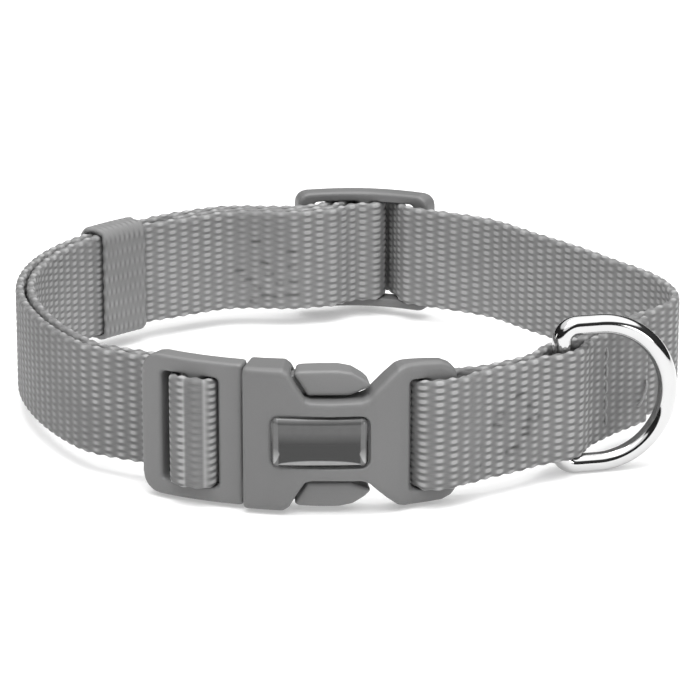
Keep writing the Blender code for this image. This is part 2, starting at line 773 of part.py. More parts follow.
def main():
    for obj in list(bpy.data.objects):
        bpy.data.objects.remove(obj)
    collection = bpy.data.collections.new("dog_collar")
    bpy.context.scene.collection.children.link(collection)

    webbing = make_material("webbing", (0.25, 0.25, 0.25), 0.75)
    band = make_material("keeper_webbing", (0.24, 0.24, 0.24), 0.75)
    shell = make_material("buckle_plastic", (0.21, 0.21, 0.21), 0.45)
    inner = make_material("prong_plastic", (0.20, 0.20, 0.20), 0.45)
    bar = make_material("slider_plastic", (0.18, 0.18, 0.18), 0.45)
    gloss = make_material("badge_plastic", (0.10, 0.10, 0.10), 0.15)
    chrome = make_material("chrome", (0.75, 0.75, 0.75), 0.08, 1.0)

    loop = Loop()
    slider_place = loop.place_of_angle(SLIDER_ANGLE) - loop.start
    keeper_place = slider_place + SLIDER_FLAP_LENGTH + KEEPER_FROM_FLAP
    upright = (
        ("strap", strap_mesh(loop), webbing),
        ("keeper_loop", wrapped(keeper_flat(), loop, keeper_place), band),
        ("buckle_socket", wrapped(socket_flat(), loop, 0.0), shell),
        ("buckle_prong", wrapped(prong_flat(), loop, 0.0), inner),
        ("badge", wrapped(badge_flat(), loop, 0.0), gloss),
        ("slider", wrapped(slider_flat(), loop, slider_place), bar),
    )
    for name, mesh, material in upright:
        obj = add_object(name, mesh, material, collection)
        obj.location.z = MIDDLE_HEIGHT
    add_ring(loop, chrome, collection)
    bpy.context.view_layer.update()


main()
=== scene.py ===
"""The looks of the dog collar: woven webbing, moulded buckle, slider and badge, chromed ring.

Metres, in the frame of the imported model. Lengths along the collar are measured from the middle of
the buckle, positive to the right. Outward is away from the neck.
"""

from __future__ import annotations

import logging
import math
from dataclasses import dataclass, field
from enum import Enum
from typing import Callable

import bmesh
import bpy
import numpy as np
from mathutils import Matrix, Vector

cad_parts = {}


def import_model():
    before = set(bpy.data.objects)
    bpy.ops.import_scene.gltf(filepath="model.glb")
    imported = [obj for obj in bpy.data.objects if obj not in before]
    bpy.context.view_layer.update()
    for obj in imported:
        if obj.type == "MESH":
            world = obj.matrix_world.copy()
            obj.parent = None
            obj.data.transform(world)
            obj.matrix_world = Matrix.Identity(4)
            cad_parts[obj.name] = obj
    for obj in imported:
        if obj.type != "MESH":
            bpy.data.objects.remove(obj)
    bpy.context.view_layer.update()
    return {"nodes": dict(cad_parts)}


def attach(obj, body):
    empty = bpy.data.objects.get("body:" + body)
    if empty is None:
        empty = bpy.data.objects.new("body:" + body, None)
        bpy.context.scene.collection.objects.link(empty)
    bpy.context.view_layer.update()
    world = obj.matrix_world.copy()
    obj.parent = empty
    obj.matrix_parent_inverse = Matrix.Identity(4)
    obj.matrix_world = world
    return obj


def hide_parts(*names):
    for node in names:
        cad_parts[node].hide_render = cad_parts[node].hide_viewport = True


LOG = logging.getLogger("dog_collar")
MM = 0.001
MIDDLE_HEIGHT = 10.6 * MM
RING_PLACE = 37.2 * MM
RING_WIRE = 2.7 * MM
FLOAT_POWER = 2.2

# The loop seen from above: angle from +X in degrees, and radius as a share of its half width.
LOOP_ROWS = (
    (-180, 0.979),
    (-163, 0.954),
    (-145, 0.942),
    (-126, 0.946),
    (-109, 0.930),
    (-95, 0.905),
    (-81, 0.890),
    (-70, 0.886),
    (-58, 0.873),
    (-44, 0.860),
    (-30, 0.862),
    (-20, 0.906),
    (-8, 0.977),
    (4, 0.946),
    (20, 0.848),
    (42, 0.806),
    (58, 0.848),
    (72, 0.914),
    (87, 0.956),
    (104, 0.940),
    (120, 0.932),
    (135, 0.952),
    (152, 0.984),
    (166, 0.990),
)

# The slider flap's buried stitches: millimetres past the slider's middle, and up.
DIMPLES = (
    (18.8, 3.1),
    (13.4, 1.5),
    (17.6, -0.3),
    (13.3, -0.9),
    (21.4, -1.7),
    (16.8, -2.1),
    (20.1, -3.1),
    (15.2, -3.6),
    (13.0, -3.3),
    (18.7, -4.5),
    (17.5, -5.7),
    (16.3, -5.8),
    (14.1, -5.5),
    (12.8, -5.5),
    (19.2, -6.6),
)

# The front flap's buried stitches: millimetres past the buckle's middle, and up.
FRONT_DIMPLES = (
    (28.0, 3.3),
    (30.0, 1.4),
    (24.9, 1.1),
    (24.3, -0.2),
    (31.1, -0.5),
    (29.9, -0.6),
    (29.2, -1.7),
    (29.2, -2.6),
    (27.5, -4.1),
    (26.5, -4.5),
    (20.9, -2.9),
    (20.9, -5.5),
)

# A stitch's shape: share of its length, and millimetres above the face. Its ends are buried.
STITCH_SHAPE = (
    (0.0, -0.54),
    (0.12, -0.24),
    (0.35, -0.12),
    (0.65, -0.12),
    (0.88, -0.24),
    (1.0, -0.54),
)


class Body(Enum):
    """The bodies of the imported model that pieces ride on."""

    COLLAR = "collar"
    RING = "ring"


class Slot(Enum):
    """The record's material slots."""

    WEBBING = "webbing"
    BUCKLE = "buckle_plastic"
    SLIDER = "slider_plastic"
    BADGE = "badge_plastic"
    RING = "ring_metal"


class Num:
    """A number in a material. Python's operators on it add Math nodes."""

    def __init__(self, tree: "Tree", socket: bpy.types.NodeSocket) -> None:
        """Wraps an output socket of the tree."""
        self.tree = tree
        self.socket = socket

    def math(self, operation: str, *others: "Num | float", swap: bool = False) -> "Num":
        """Adds a Math node.

        Args:
            operation: The node's operation.
            others: Its further values.
            swap: Whether the first two values change places.

        Returns:
            The node's result.
        """
        values = [self, *others]
        if swap:
            values[0], values[1] = values[1], values[0]
        return self.tree.node("Math", {"operation": operation}, dict(enumerate(values)))

    def __add__(self, other: "Num | float") -> "Num":
        """This plus the other."""
        return self.math("ADD", other)

    __radd__ = __add__

    def __mul__(self, other: "Num | float") -> "Num":
        """This times the other."""
        return self.math("MULTIPLY", other)

    __rmul__ = __mul__

    def __sub__(self, other: "Num | float") -> "Num":
        """This less the other."""
        return self.math("SUBTRACT", other)

    def __rsub__(self, other: "Num | float") -> "Num":
        """The other less this."""
        return self.math("SUBTRACT", other, swap=True)

    def __truediv__(self, other: "Num | float") -> "Num":
        """This over the other."""
        return self.math("DIVIDE", other)

    def __rtruediv__(self, other: "Num | float") -> "Num":
        """The other over this."""
        return self.math("DIVIDE", other, swap=True)

    def __pow__(self, other: "Num | float") -> "Num":
        """This to the power of the other."""
        return self.math("POWER", other)


class Tree:
    """A material's nodes, made through one method."""

    def __init__(self, name: str) -> None:
        """Starts a material with its Principled shader.

        Args:
            name: The material's name.
        """
        self.material = bpy.data.materials.new(name)
        self.material.use_nodes = True
        self.nodes = self.material.node_tree.nodes
        self.links = self.material.node_tree.links
        self.shader = self.nodes["Principled BSDF"]

    def node(
        self,
        kind: str,
        settings: dict[str, object] | None = None,
        values: dict[int | str, object] | None = None,
        output: int | str = 0,
    ) -> Num:
        """Adds a node.

        Args:
            kind: The node's type, without its ShaderNode prefix.
            settings: Its own settings, set first.
            values: Its inputs, by number or name: numbers, colours or results of other nodes.
            output: The output that is wanted.

        Returns:
            The wanted output.
        """
        made = self.nodes.new("ShaderNode" + kind)
        for name, value in (settings or {}).items():
            setattr(made, name, value)
        for name, value in (values or {}).items():
            if isinstance(value, Num):
                self.links.new(value.socket, made.inputs[name])
            else:
                made.inputs[name].default_value = value
        return Num(self, made.outputs[output])

    def feed(self, **inputs: object) -> None:
        """Sets or links the Principled shader's inputs.

        Args:
            inputs: Values or results of nodes, by the input's name with _ for each space.
        """
        for name, value in inputs.items():
            socket = self.shader.inputs[name.replace("_", " ")]
            if isinstance(value, Num):
                self.links.new(value.socket, socket)
            else:
                socket.default_value = value

    def attribute(self, name: str) -> Num:
        """Reads a number that the mesh carries at each point."""
        return self.node("Attribute", {"attribute_name": name}, output="Fac")

    def grey_mix(self, low: float, high: float, share: Num) -> Num:
        """Mixes two greys.

        Args:
            low: The grey at 0.
            high: The grey at 1.
            share: Where between them.

        Returns:
            The colour.
        """
        values = {"Factor": share, 6: (low, low, low, 1), 7: (high, high, high, 1)}
        settings = {"data_type": "RGBA", "clamp_factor": True}
        return self.node("Mix", settings, values, 2)

    def noise(self, scale: float, detail: float, vector: Num | None = None) -> Num:
        """Noise from 0 to 1.

        Args:
            scale: Its scale, in waves a metre on Object coordinates.
            detail: How many finer layers it has.
            vector: Where it is read, Object coordinates if left out.

        Returns:
            The noise.
        """
        where = vector or self.node("TexCoord", output="Object")
        return self.node("TexNoise", {}, {"Vector": where, "Scale": scale, "Detail": detail})

    def bump(self, height: Num, distance: float, strength: float = 1.0) -> Num:
        """Turns a relief into a normal.

        Args:
            height: The relief, from 0 to 1.
            distance: How deep it is in metres.
            strength: How strongly it shows.

        Returns:
            The normal.
        """
        values = {"Height": height, "Distance": distance, "Strength": strength}
        return self.node("Bump", {}, values)


@dataclass(frozen=True)
class WebbingFinish:
    """Dyed nylon webbing whose yarns float over each pick, with painted highlight spots on the
    floating yarns and painted shade in the hollows between them.

    Pitches are in millimetres. Shares run from gap_grey at 0 to yarn_grey at 1: body is the plain
    webbing's, the spot share is the painted highlight on a float, dash the painted shade that a
    hollow takes off, cloud what unevenness adds, and the last share what the painted light
    attribute adds at 1.
    """

    name: str = "nylon_webbing"
    yarn_grey: float = 0.34
    gap_grey: float = 0.03
    body: float = 0.43
    # The next six set the painted highlight spots on the floating yarns and the painted shade in
    # the hollows.
    painted_highlight_spot: float = 0.90
    painted_highlight_power: float = 7.0
    painted_highlight_narrow: float = 2.9
    dash: float = 0.12
    painted_shade_power: float = 6.0
    painted_shade_narrow: float = 5.0
    relief: float = 0.45
    cloud: float = 0.2
    painted_light_mark: float = 0.5
    roughness: float = 0.48
    roughness_range: float = 0.22
    depth: float = 0.3 * MM
    pair_pitch: float = 1.0
    pick_pitch: float = 2.0
    filament_scale: tuple[float, float, float] = (0.9, 9.0, 1.0)

    def make(self) -> bpy.types.Material:
        """Makes the material. It reads the UV map and two attributes: painted light, and how much
        the weave's painted light is damped.

        Returns:
            The material.
        """
        tree = Tree(self.name)
        place = tree.node("UVMap", {"uv_map": "weave"})
        along = tree.node("SeparateXYZ", {}, {0: place})
        across = tree.node("SeparateXYZ", {}, {0: place}, 1)
        height_a, painted_light_a = self._yarn(along, across, 0)
        height_b, painted_light_b = self._yarn(along, across, 1)
        height = height_a.math("MAXIMUM", height_b)
        scaled = {0: place, 1: self.filament_scale}
        filament = tree.noise(1.0, 3.0, tree.node("VectorMath", {"operation": "MULTIPLY"}, scaled))
        patch = tree.noise(90.0, 3.0)
        lively = tree.noise(150.0, 2.0) * 2.4 - 0.2
        # Painted highlight spots on the floating yarns less painted shade in the hollows, damped
        # where the faces are sewn down, bent or turned away from the lights, plus the strap's own
        # painted light.
        painted_weave_light = (painted_light_a + painted_light_b) * lively * (1.0 - tree.attribute("painted_light_damping"))
        share = painted_weave_light + tree.attribute("painted_light_mark") * self.painted_light_mark
        share = share + filament * self.cloud + patch * self.cloud + (self.body - self.cloud)
        tree.feed(
            Base_Color=tree.grey_mix(self.gap_grey, self.yarn_grey, share),
            Roughness=filament * self.roughness_range + (self.roughness - self.roughness_range / 2),
            Normal=tree.bump(height * 0.85 + filament * 0.15, self.depth, self.relief),
            Specular_IOR_Level=0.1,
        )
        return tree.material

    def _yarn(self, along: Num, across: Num, parity: int) -> tuple[Num, Num]:
        """The even or the odd yarns.

        Args:
            along: Millimetres along the webbing.
            across: Millimetres across it.
            parity: 0 for the even yarns, 1 for the odd ones.

        Returns:
            Their height, from 0 to about 1, and their painted light: a painted highlight spot on
            each float's crest, less painted shade in the hollow where a yarn dives under a pick.
        """
        turn = (along * (math.pi / self.pick_pitch) + math.pi * parity).math("COSINE")
        wave = turn * 0.5 + 0.5
        off = ((across / self.pair_pitch + (0.5 - parity / 2)).math("FRACT") - 0.5).math("ABSOLUTE")
        # A painted highlight spot on the float's crest, and painted shade in the hollow where the
        # yarn dives.
        painted_highlight_spot = wave**self.painted_highlight_power * self._hump(off, self.painted_highlight_narrow)
        dash = (1.0 - wave) ** self.painted_shade_power * self._hump(off, self.painted_shade_narrow)
        rise = wave**FLOAT_POWER * 0.56 + self._hump(off, 2.0).math("SQRT") * 0.6 - 0.16
        return rise, painted_highlight_spot * self.painted_highlight_spot - dash * self.dash

    @staticmethod
    def _hump(off: Num, narrow: float) -> Num:
        """A hump over a yarn: 1 on its middle, and 0 further off than a pitch over narrow."""
        return (1.0 - (off * narrow) ** 2.0).math("MAXIMUM", 0.0)


@dataclass(frozen=True)
class PlasticFinish:
    """Moulded nylon or acetal: a fine eggshell grain, faint flow marks and paler worn edges."""

    name: str
    grey: float
    roughness: float = 0.42
    cloud: float = 0.5
    grain: float = 0.2
    worn: float = 0.25
    worn_from: float = 0.505
    worn_full: float = 0.56

    def make(self) -> bpy.types.Material:
        """Makes the material, on Object coordinates.

        Returns:
            The material.
        """
        tree = Tree(self.name)
        grain = tree.noise(5200.0, 4.0)
        cloud = tree.noise(70.0, 3.0)
        edge = tree.node("NewGeometry", output="Pointiness")
        limits = {1: self.worn_from, 2: self.worn_full, 3: 0.0, 4: 1.0}
        worn = tree.node("MapRange", {}, {0: edge, **limits})
        share = cloud * self.cloud + grain * self.grain + worn * self.worn
        tree.feed(
            Base_Color=tree.grey_mix(self.grey * 0.86, self.grey * 1.30, share),
            Roughness=cloud * 0.14 + grain * 0.10 + (self.roughness - 0.12),
            Normal=tree.bump(grain, 0.02 * MM, 0.5),
            Specular_IOR_Level=0.35,
        )
        return tree.material


@dataclass(frozen=True)
class GlossFinish:
    """A dark inset under a clear resin dome, with a painted highlight along its lower rim."""

    name: str = "badge_gloss"
    grey: float = 0.012
    painted_highlight_grey: float = 0.62

    def make(self) -> bpy.types.Material:
        """Makes the material. It reads the piece's attribute of painted highlight, from 0 to 1.

        Returns:
            The material.
        """
        tree = Tree(self.name)
        painted_highlight = tree.attribute("painted_highlight")
        cloud = tree.noise(900.0, 3.0)
        fleck = tree.noise(2600.0, 2.0)
        tree.feed(
            # The painted highlight on the dome lightens the base colour.
            Base_Color=tree.grey_mix(self.grey, self.painted_highlight_grey, painted_highlight * (cloud * 0.3 + 0.85)),
            Roughness=fleck * 0.06 + 0.16,
            Specular_IOR_Level=0.1,
            Coat_Weight=0.8,
            Coat_Roughness=0.05,
        )
        return tree.material


@dataclass(frozen=True)
class ChromeFinish:
    """Chrome plate on bent wire, with a faint haze and hairlines."""

    name: str = "chrome_wire"
    grey: float = 0.58

    def make(self) -> bpy.types.Material:
        """Makes the material, on Object coordinates.

        Returns:
            The material.
        """
        tree = Tree(self.name)
        haze = tree.noise(240.0, 4.0)
        hair = tree.noise(3500.0, 2.0)
        tree.feed(
            Base_Color=tree.grey_mix(self.grey * 0.9, self.grey, haze),
            Metallic=1.0,
            Roughness=haze * 0.08 + hair * 0.05 + 0.02,
            Normal=tree.bump(haze, 0.03 * MM, 0.25),
        )
        return tree.material


@dataclass(frozen=True)
class ThreadFinish:
    """Twisted sewing thread, a little paler than the webbing."""

    name: str = "sewing_thread"
    grey: float = 0.25

    def make(self) -> bpy.types.Material:
        """Makes the material, on Object coordinates.

        Returns:
            The material.
        """
        tree = Tree(self.name)
        ply = tree.noise(3800.0, 2.0)
        tree.feed(
            Base_Color=tree.grey_mix(self.grey * 0.6, self.grey * 1.15, ply),
            Roughness=ply * 0.2 + 0.4,
            Normal=tree.bump(ply, 0.06 * MM, 0.6),
        )
        return tree.material


@dataclass(frozen=True)
class FloorFinish:
    """A plain pale studio floor."""

    name: str = "studio_floor"
    grey: float = 0.70
    glow: float = 0.35

    def make(self) -> bpy.types.Material:
        """Makes the material, on Object coordinates.

        Returns:
            The material.
        """
        tree = Tree(self.name)
        cloud = tree.noise(2.0, 2.0)
        tree.feed(
            Base_Color=tree.grey_mix(self.grey * 0.99, self.grey, cloud),
            Roughness=0.9,
            Specular_IOR_Level=0.1,
            Emission_Color=(1.0, 1.0, 1.0, 1.0),
            Emission_Strength=self.glow,
        )
        return tree.material


class Loop:
    """The closed middle line of the collar."""

    def __init__(
        self,
        half_width: float = 48.0 * MM,
        centre: tuple[float, float] = (0.54 * MM, -1.47 * MM),
        buckle_angle: float = -95.4,
        samples: int = 2880,
    ) -> None:
        """Samples the loop.

        Args:
            half_width: The radius that LOOP_ROWS gives shares of.
            centre: The loop's centre in plan.
            buckle_angle: Where the buckle's middle is, in degrees.
            samples: How many points it is sampled at.
        """
        angles = np.radians(np.linspace(-180.0, 180.0, samples, endpoint=False))
        radii = self._radius(np.degrees(angles)) * half_width
        plan = np.stack([radii * np.cos(angles), radii * np.sin(angles)], axis=1)
        plan += np.array(centre)
        ahead = np.roll(plan, -1, axis=0)
        steps = np.linalg.norm(ahead - plan, axis=1)
        self.length = float(steps.sum())
        self.places = np.concatenate([[0.0], np.cumsum(steps)])
        self.plan = np.vstack([plan, plan[:1]])
        along = ahead - np.roll(plan, 1, axis=0)
        along /= np.linalg.norm(along, axis=1)[:, None]
        outward = np.stack([along[:, 1], -along[:, 0]], axis=1)
        self.outward = np.vstack([outward, outward[:1]])
        self.angles = np.degrees(np.append(angles, math.pi))
        self.start = float(np.interp(buckle_angle, self.angles, self.places))

    @staticmethod
    def _radius(wanted: np.ndarray) -> np.ndarray:
        """Reads the smooth closed curve through LOOP_ROWS.

        Args:
            wanted: Angles in degrees.

        Returns:
            The radius at each, as a share.
        """
        table = np.array(LOOP_ROWS, float)
        x = np.concatenate([table[-2:, 0] - 360, table[:, 0], table[:2, 0] + 360])
        y = np.concatenate([table[-2:, 1], table[:, 1], table[:2, 1]])
        slopes = np.zeros_like(y)
        slopes[1:-1] = (y[2:] - y[:-2]) / (x[2:] - x[:-2])
        at = np.clip(np.searchsorted(x, wanted, side="right") - 1, 1, len(x) - 3)
        span = x[at + 1] - x[at]
        t = (wanted - x[at]) / span
        return (
            y[at] * (2 * t**3 - 3 * t**2 + 1)
            + y[at + 1] * (3 * t**2 - 2 * t**3)
            + slopes[at] * span * (t**3 - 2 * t**2 + t)
            + slopes[at + 1] * span * (t**3 - t**2)
        )

    def place_of(self, angle: float) -> float:
        """The place along the collar at this angle from above, in degrees."""
        there = float(np.interp(angle, self.angles, self.places))
        return (there - self.start) % self.length

    def wrap(self, place: np.ndarray, outward: np.ndarray, height: np.ndarray) -> np.ndarray:
        """Puts points on the collar.

        Args:
            place: How far along each lies.
            outward: How far outward.
            height: How far up.

        Returns:
            Rows of X, Y and Z.
        """
        where = (self.start + np.asarray(place)) % self.length
        point = [np.interp(where, self.places, self.plan[:, axis]) for axis in (0, 1)]
        out = [np.interp(where, self.places, self.outward[:, axis]) for axis in (0, 1)]
        scale = 1.0 / np.hypot(out[0], out[1])
        x = point[0] + out[0] * scale * outward
        y = point[1] + out[1] * scale * outward
        return np.stack([x, y, np.broadcast_to(height, x.shape)], axis=1)


@dataclass
class StrapSizes:
    """The sizes of the strap and of the parts that it threads, as in the solids."""

    width: float = 15.7 * MM
    slot_squeeze: float = 0.03
    thickness: float = 1.3 * MM
    pitch: float = 1.6 * MM
    wrap: float = 2.55 * MM
    ease: float = 14.0 * MM
    buckle_flap: float = 19.0 * MM
    slider_flap: float = 32.0 * MM
    ring_place: float = RING_PLACE
    ring_wire: float = RING_WIRE
    fit_gap: float = 0.3 * MM
    socket_bar: float = 15.8 * MM
    socket_reach: float = 0.33 * MM
    prong_bar: float = -16.9 * MM
    prong_left: float = -24.9 * MM
    prong_right: float = -10.1 * MM
    prong_side_bar: float = 3.2 * MM
    slider_angle: float = 87.0
    slider_length: float = 21.8 * MM
    slider_side_bar: float = 2.6 * MM
    past_frame: float = 0.6 * MM
    settle: float = 8.0 * MM
    socket_span: float = 4.0 * MM
    slot_level: float = 2.5 * MM


class StrapRoute:
    """The strap's middle line, sampled evenly along its whole length."""

    def __init__(self, loop: Loop, sizes: StrapSizes, step: float = 0.3 * MM) -> None:
        """Lays out and samples the route.

        Args:
            loop: The collar's loop.
            sizes: The strap's sizes.
            step: The distance between samples.
        """
        self.loop = loop
        self.sizes = sizes
        rows = self._smooth(self._even(np.array(self._rows()), 0.1 * MM), 9)
        points = loop.wrap(rows[:, 0], rows[:, 1], np.zeros(len(rows)))
        gone = np.concatenate([[0.0], np.cumsum(np.linalg.norm(np.diff(points, axis=0), axis=1))])
        count = int(round(gone[-1] / step))
        self.along = np.linspace(0.0, gone[-1], count + 1)
        self.place = np.interp(self.along, gone, rows[:, 0])
        self.outward = np.interp(self.along, gone, rows[:, 1])
        self.points = loop.wrap(self.place, self.outward, np.zeros(count + 1))
        heading = np.gradient(self.points[:, :2], axis=0)
        heading /= np.linalg.norm(heading, axis=1)[:, None]
        self.side = np.stack([heading[:, 1], -heading[:, 0]], axis=1)

    @staticmethod
    def _even(rows: np.ndarray, step: float) -> np.ndarray:
        """Samples a line of points evenly.

        Args:
            rows: The points.
            step: The distance between samples, about.

        Returns:
            The samples.
        """
        gone = np.concatenate([[0.0], np.cumsum(np.linalg.norm(np.diff(rows, axis=0), axis=1))])
        wanted = np.linspace(0.0, gone[-1], int(gone[-1] / step) + 1)
        return np.stack([np.interp(wanted, gone, rows[:, axis]) for axis in (0, 1)], axis=1)

    @staticmethod
    def _smooth(rows: np.ndarray, window: int) -> np.ndarray:
        """Averages each point with its neighbours, twice, and keeps the two ends.

        Args:
            rows: The points.
            window: How many points are averaged.

        Returns:
            The averages.
        """
        kernel = np.ones(window) / window
        reach = window // 2
        for _ in range(2):
            padded = np.vstack([rows[:1]] * reach + [rows] + [rows[-1:]] * reach)
            rows = np.stack([np.convolve(padded[:, axis], kernel, "valid") for axis in (0, 1)], 1)
        return rows

    @staticmethod
    def _eased(rows: tuple[tuple[float, float], ...], step: float = 0.2 * MM) -> list[tuple]:
        """Points through rows of place and outward, level at each row.

        Args:
            rows: The rows.
            step: The distance between points.

        Returns:
            The points.
        """
        points = []
        for (place_a, out_a), (place_b, out_b) in zip(rows, rows[1:]):
            count = max(2, round(abs(place_b - place_a) / step))
            for index in range(count):
                t = index / count
                ease = t * t * (3 - 2 * t)
                points.append((place_a + (place_b - place_a) * t, out_a + (out_b - out_a) * ease))
        points.append(rows[-1])
        return points

    @staticmethod
    def _turned(
        place: float, radius: float, side: int, first: int, more: float = 0.0, square: float = 0.75
    ) -> list[tuple]:
        """A half turn about a bar.

        Args:
            place: Where the bar is.
            radius: The turn's radius.
            side: 1 if it bulges forward along the collar, -1 if back.
            first: 1 if it starts on the outer side, -1 if on the inner one.
            more: How much further than the radius it bulges.
            square: Below 1, how square its bends are.

        Returns:
            Points of place and outward.
        """
        angles = [math.pi * index / 24 for index in range(1, 24)]
        points = []
        for angle in angles:
            reach = math.sin(angle) ** square
            level = math.copysign(abs(math.cos(angle)) ** square, math.cos(angle))
            points.append((place + side * (radius + more) * reach, first * radius * level))
        return points

    def _rows(self) -> list[tuple]:
        """Lays the strap through the ring's pocket, the buckle's halves and the slider.

        Returns:
            Points of place and outward, from the front end to the back end.
        """
        s = self.sizes
        half = s.pitch / 2
        ring = s.ring_wire / 2 + s.fit_gap + s.thickness / 2
        ring_ease = 2.6 * ring
        ring_from, ring_to = s.ring_place - ring_ease, s.ring_place + ring_ease
        flap_end = s.ring_place + s.buckle_flap
        slider = self.loop.place_of(s.slider_angle)
        side_bar = s.slider_length / 2
        slot_start = side_bar - s.slider_side_bar + 0.1 * MM
        slot_inner = slider + side_bar - s.slider_side_bar - 1.3 * MM
        past_slider = slider + side_bar + s.past_frame
        eased_slider = slider + side_bar + s.ease
        slider_flap_end = slider + s.slider_flap
        over = s.wrap + s.pitch
        prong_bar = self.loop.length + s.prong_bar
        prong_end = self.loop.length + s.prong_left
        prong_slot = prong_end + s.prong_side_bar
        front_flap = (
            (flap_end, half),
            (ring_to, half),
            (s.ring_place, ring),
            (ring_from, half),
            (s.socket_bar + s.settle, half),
            (s.socket_bar, s.wrap),
        )
        main_run = (
            (s.socket_bar, -s.wrap),
            (s.socket_bar + s.settle, -half),
            (ring_from, -half),
            (s.ring_place, -ring),
            (ring_to, -half),
            (flap_end, -half),
            (flap_end + 12 * MM, 0.0),
            (slider - side_bar - s.ease, 0.0),
            (slider - side_bar - s.past_frame, -s.wrap),
            (slider - slot_start, -s.wrap),
            (slider - 1.2 * MM, over),
            (slider + 1.2 * MM, over),
            (slider + slot_start, -s.wrap),
            (past_slider, -s.wrap),
            (eased_slider, s.pitch),
            (slider_flap_end, s.pitch),
            (slider_flap_end + s.settle, half),
            (prong_end - s.ease, half),
            (prong_end - s.past_frame, -s.wrap),
            (prong_slot - 0.1 * MM, -s.wrap),
            (prong_bar - 2.0 * MM, s.wrap),
            (prong_bar, s.wrap),
        )
        back_run = (
            (prong_bar, -s.wrap),
            (prong_bar - 0.5 * MM, -s.wrap),
            (prong_slot + 0.5 * MM, -over),
            (prong_end - s.past_frame, -over),
            (prong_end - s.ease, -half),
            (slider_flap_end + s.settle, -half),
            (slider_flap_end, -s.pitch),
            (eased_slider, -s.pitch),
            (past_slider, -s.wrap - 2 * s.pitch),
            (slot_inner, -s.wrap - 2 * s.pitch),
            (slider + 0.6 * MM, -s.wrap),
            (slider, -s.wrap),
        )
        slider_flap = (
            (slider, s.wrap),
            (slider + 0.4 * MM, s.wrap),
            (slot_inner, -over),
            (past_slider, -over),
            (eased_slider, 0.0),
            (slider_flap_end, 0.0),
        )
        return [
            *self._eased(front_flap),
            *self._turned(s.socket_bar, s.wrap, -1, 1, s.socket_reach),
            *self._eased(main_run),
            *self._turned(prong_bar, s.wrap, 1, 1, 0.0, 0.5),
            *self._eased(back_run),
            *self._turned(slider, s.wrap, -1, -1),
            *self._eased(slider_flap),
        ]


@dataclass
class Weave:
    """The relief of the webbing: yarns that pass over and under each pick."""

    pair_pitch: float = 1.0 * MM
    pick_pitch: float = 2.0 * MM
    float_rise: float = 0.14 * MM
    yarn_round: float = 0.09 * MM
    scallop: float = 0.10 * MM

    def height(self, along: np.ndarray, across: np.ndarray) -> np.ndarray:
        """The relief on a face.

        Args:
            along: Metres along the webbing.
            across: Metres across it.

        Returns:
            The height, from about -0.15 to 0.08 mm.
        """
        layers = []
        for parity in (0, 1):
            turn = 0.5 + 0.5 * np.cos(np.pi * along / self.pick_pitch + math.pi * parity)
            off = np.abs((across / self.pair_pitch + 0.5 - parity / 2) % 1.0 - 0.5)
            round_part = np.sqrt(np.clip(1.0 - (2.0 * off) ** 2, 0.0, 1.0))
            layers.append(turn**FLOAT_POWER * self.float_rise + round_part * self.yarn_round)
        return np.maximum(*layers) - self.yarn_round * 0.85 - self.float_rise * 0.5

    def edge(self, along: np.ndarray) -> np.ndarray:
        """The relief of a selvedge, where each pick turns back."""
        return self.scallop * np.cos(2.0 * np.pi * along / self.pick_pitch)


def arc(
    x: float, z: float, radius: float, start: float, end: float, count: int
) -> list[tuple[float, float]]:
    """Points along an arc, both ends included.

    Args:
        x: The centre's first coordinate.
        z: Its second one.
        radius: The arc's radius.
        start: Its first angle, in degrees.
        end: Its last angle.
        count: Its number of steps.

    Returns:
        Pairs of coordinates.
    """
    angles = np.radians(np.linspace(start, end, count + 1))
    return list(zip(x + radius * np.cos(angles), z + radius * np.sin(angles)))


def soft_band(
    value: np.ndarray, start: float, end: np.ndarray | float, soft: float
) -> np.ndarray:
    """A mask of where the value lies between two limits.

    Args:
        value: The values.
        start: The lower limit.
        end: The upper limit.
        soft: How far inside each limit the mask reaches 1.

    Returns:
        The mask, from 0 to 1.
    """
    return np.clip((value - start) / soft, 0.0, 1.0) * np.clip((end - value) / soft, 0.0, 1.0)


# From points' ring numbers and two more numbers of each: rows of X, Y and Z or one number each,
# and the attributes that a finish reads, by name.
Placing = Callable[[np.ndarray, np.ndarray, np.ndarray], np.ndarray]
Marking = Callable[[np.ndarray, np.ndarray, np.ndarray], dict[str, np.ndarray]]


def grid_mesh(name: str, columns: int, rows: int, size: float = 1.0) -> bpy.types.Mesh:
    """Makes a flat grid.

    Args:
        name: The mesh's name.
        columns: How many faces it has along X.
        rows: How many it has along Y.
        size: Its half width.

    Returns:
        The mesh.
    """
    bm = bmesh.new()
    bmesh.ops.create_grid(bm, x_segments=columns, y_segments=rows, size=size)
    mesh = bpy.data.meshes.new(name)
    bm.to_mesh(mesh)
    bm.free()
    return mesh


def read_points(mesh: bpy.types.Mesh) -> np.ndarray:
    """Reads where the mesh's vertices are.

    Args:
        mesh: The mesh.

    Returns:
        Rows of X, Y and Z.
    """
    co = np.empty(len(mesh.vertices) * 3, np.float64)
    mesh.vertices.foreach_get("co", co)
    return co.reshape(-1, 3)


def write_points(mesh: bpy.types.Mesh, rows: np.ndarray) -> None:
    """Moves the mesh's vertices to the rows."""
    mesh.vertices.foreach_set("co", rows.astype(np.float32).ravel())


def write_attribute(mesh: bpy.types.Mesh, name: str, values: np.ndarray) -> None:
    """Gives the mesh a number at each point, which its finish reads by this name."""
    layer = mesh.attributes.new(name, "FLOAT", "POINT")
    layer.data.foreach_set("value", values.astype(np.float32))


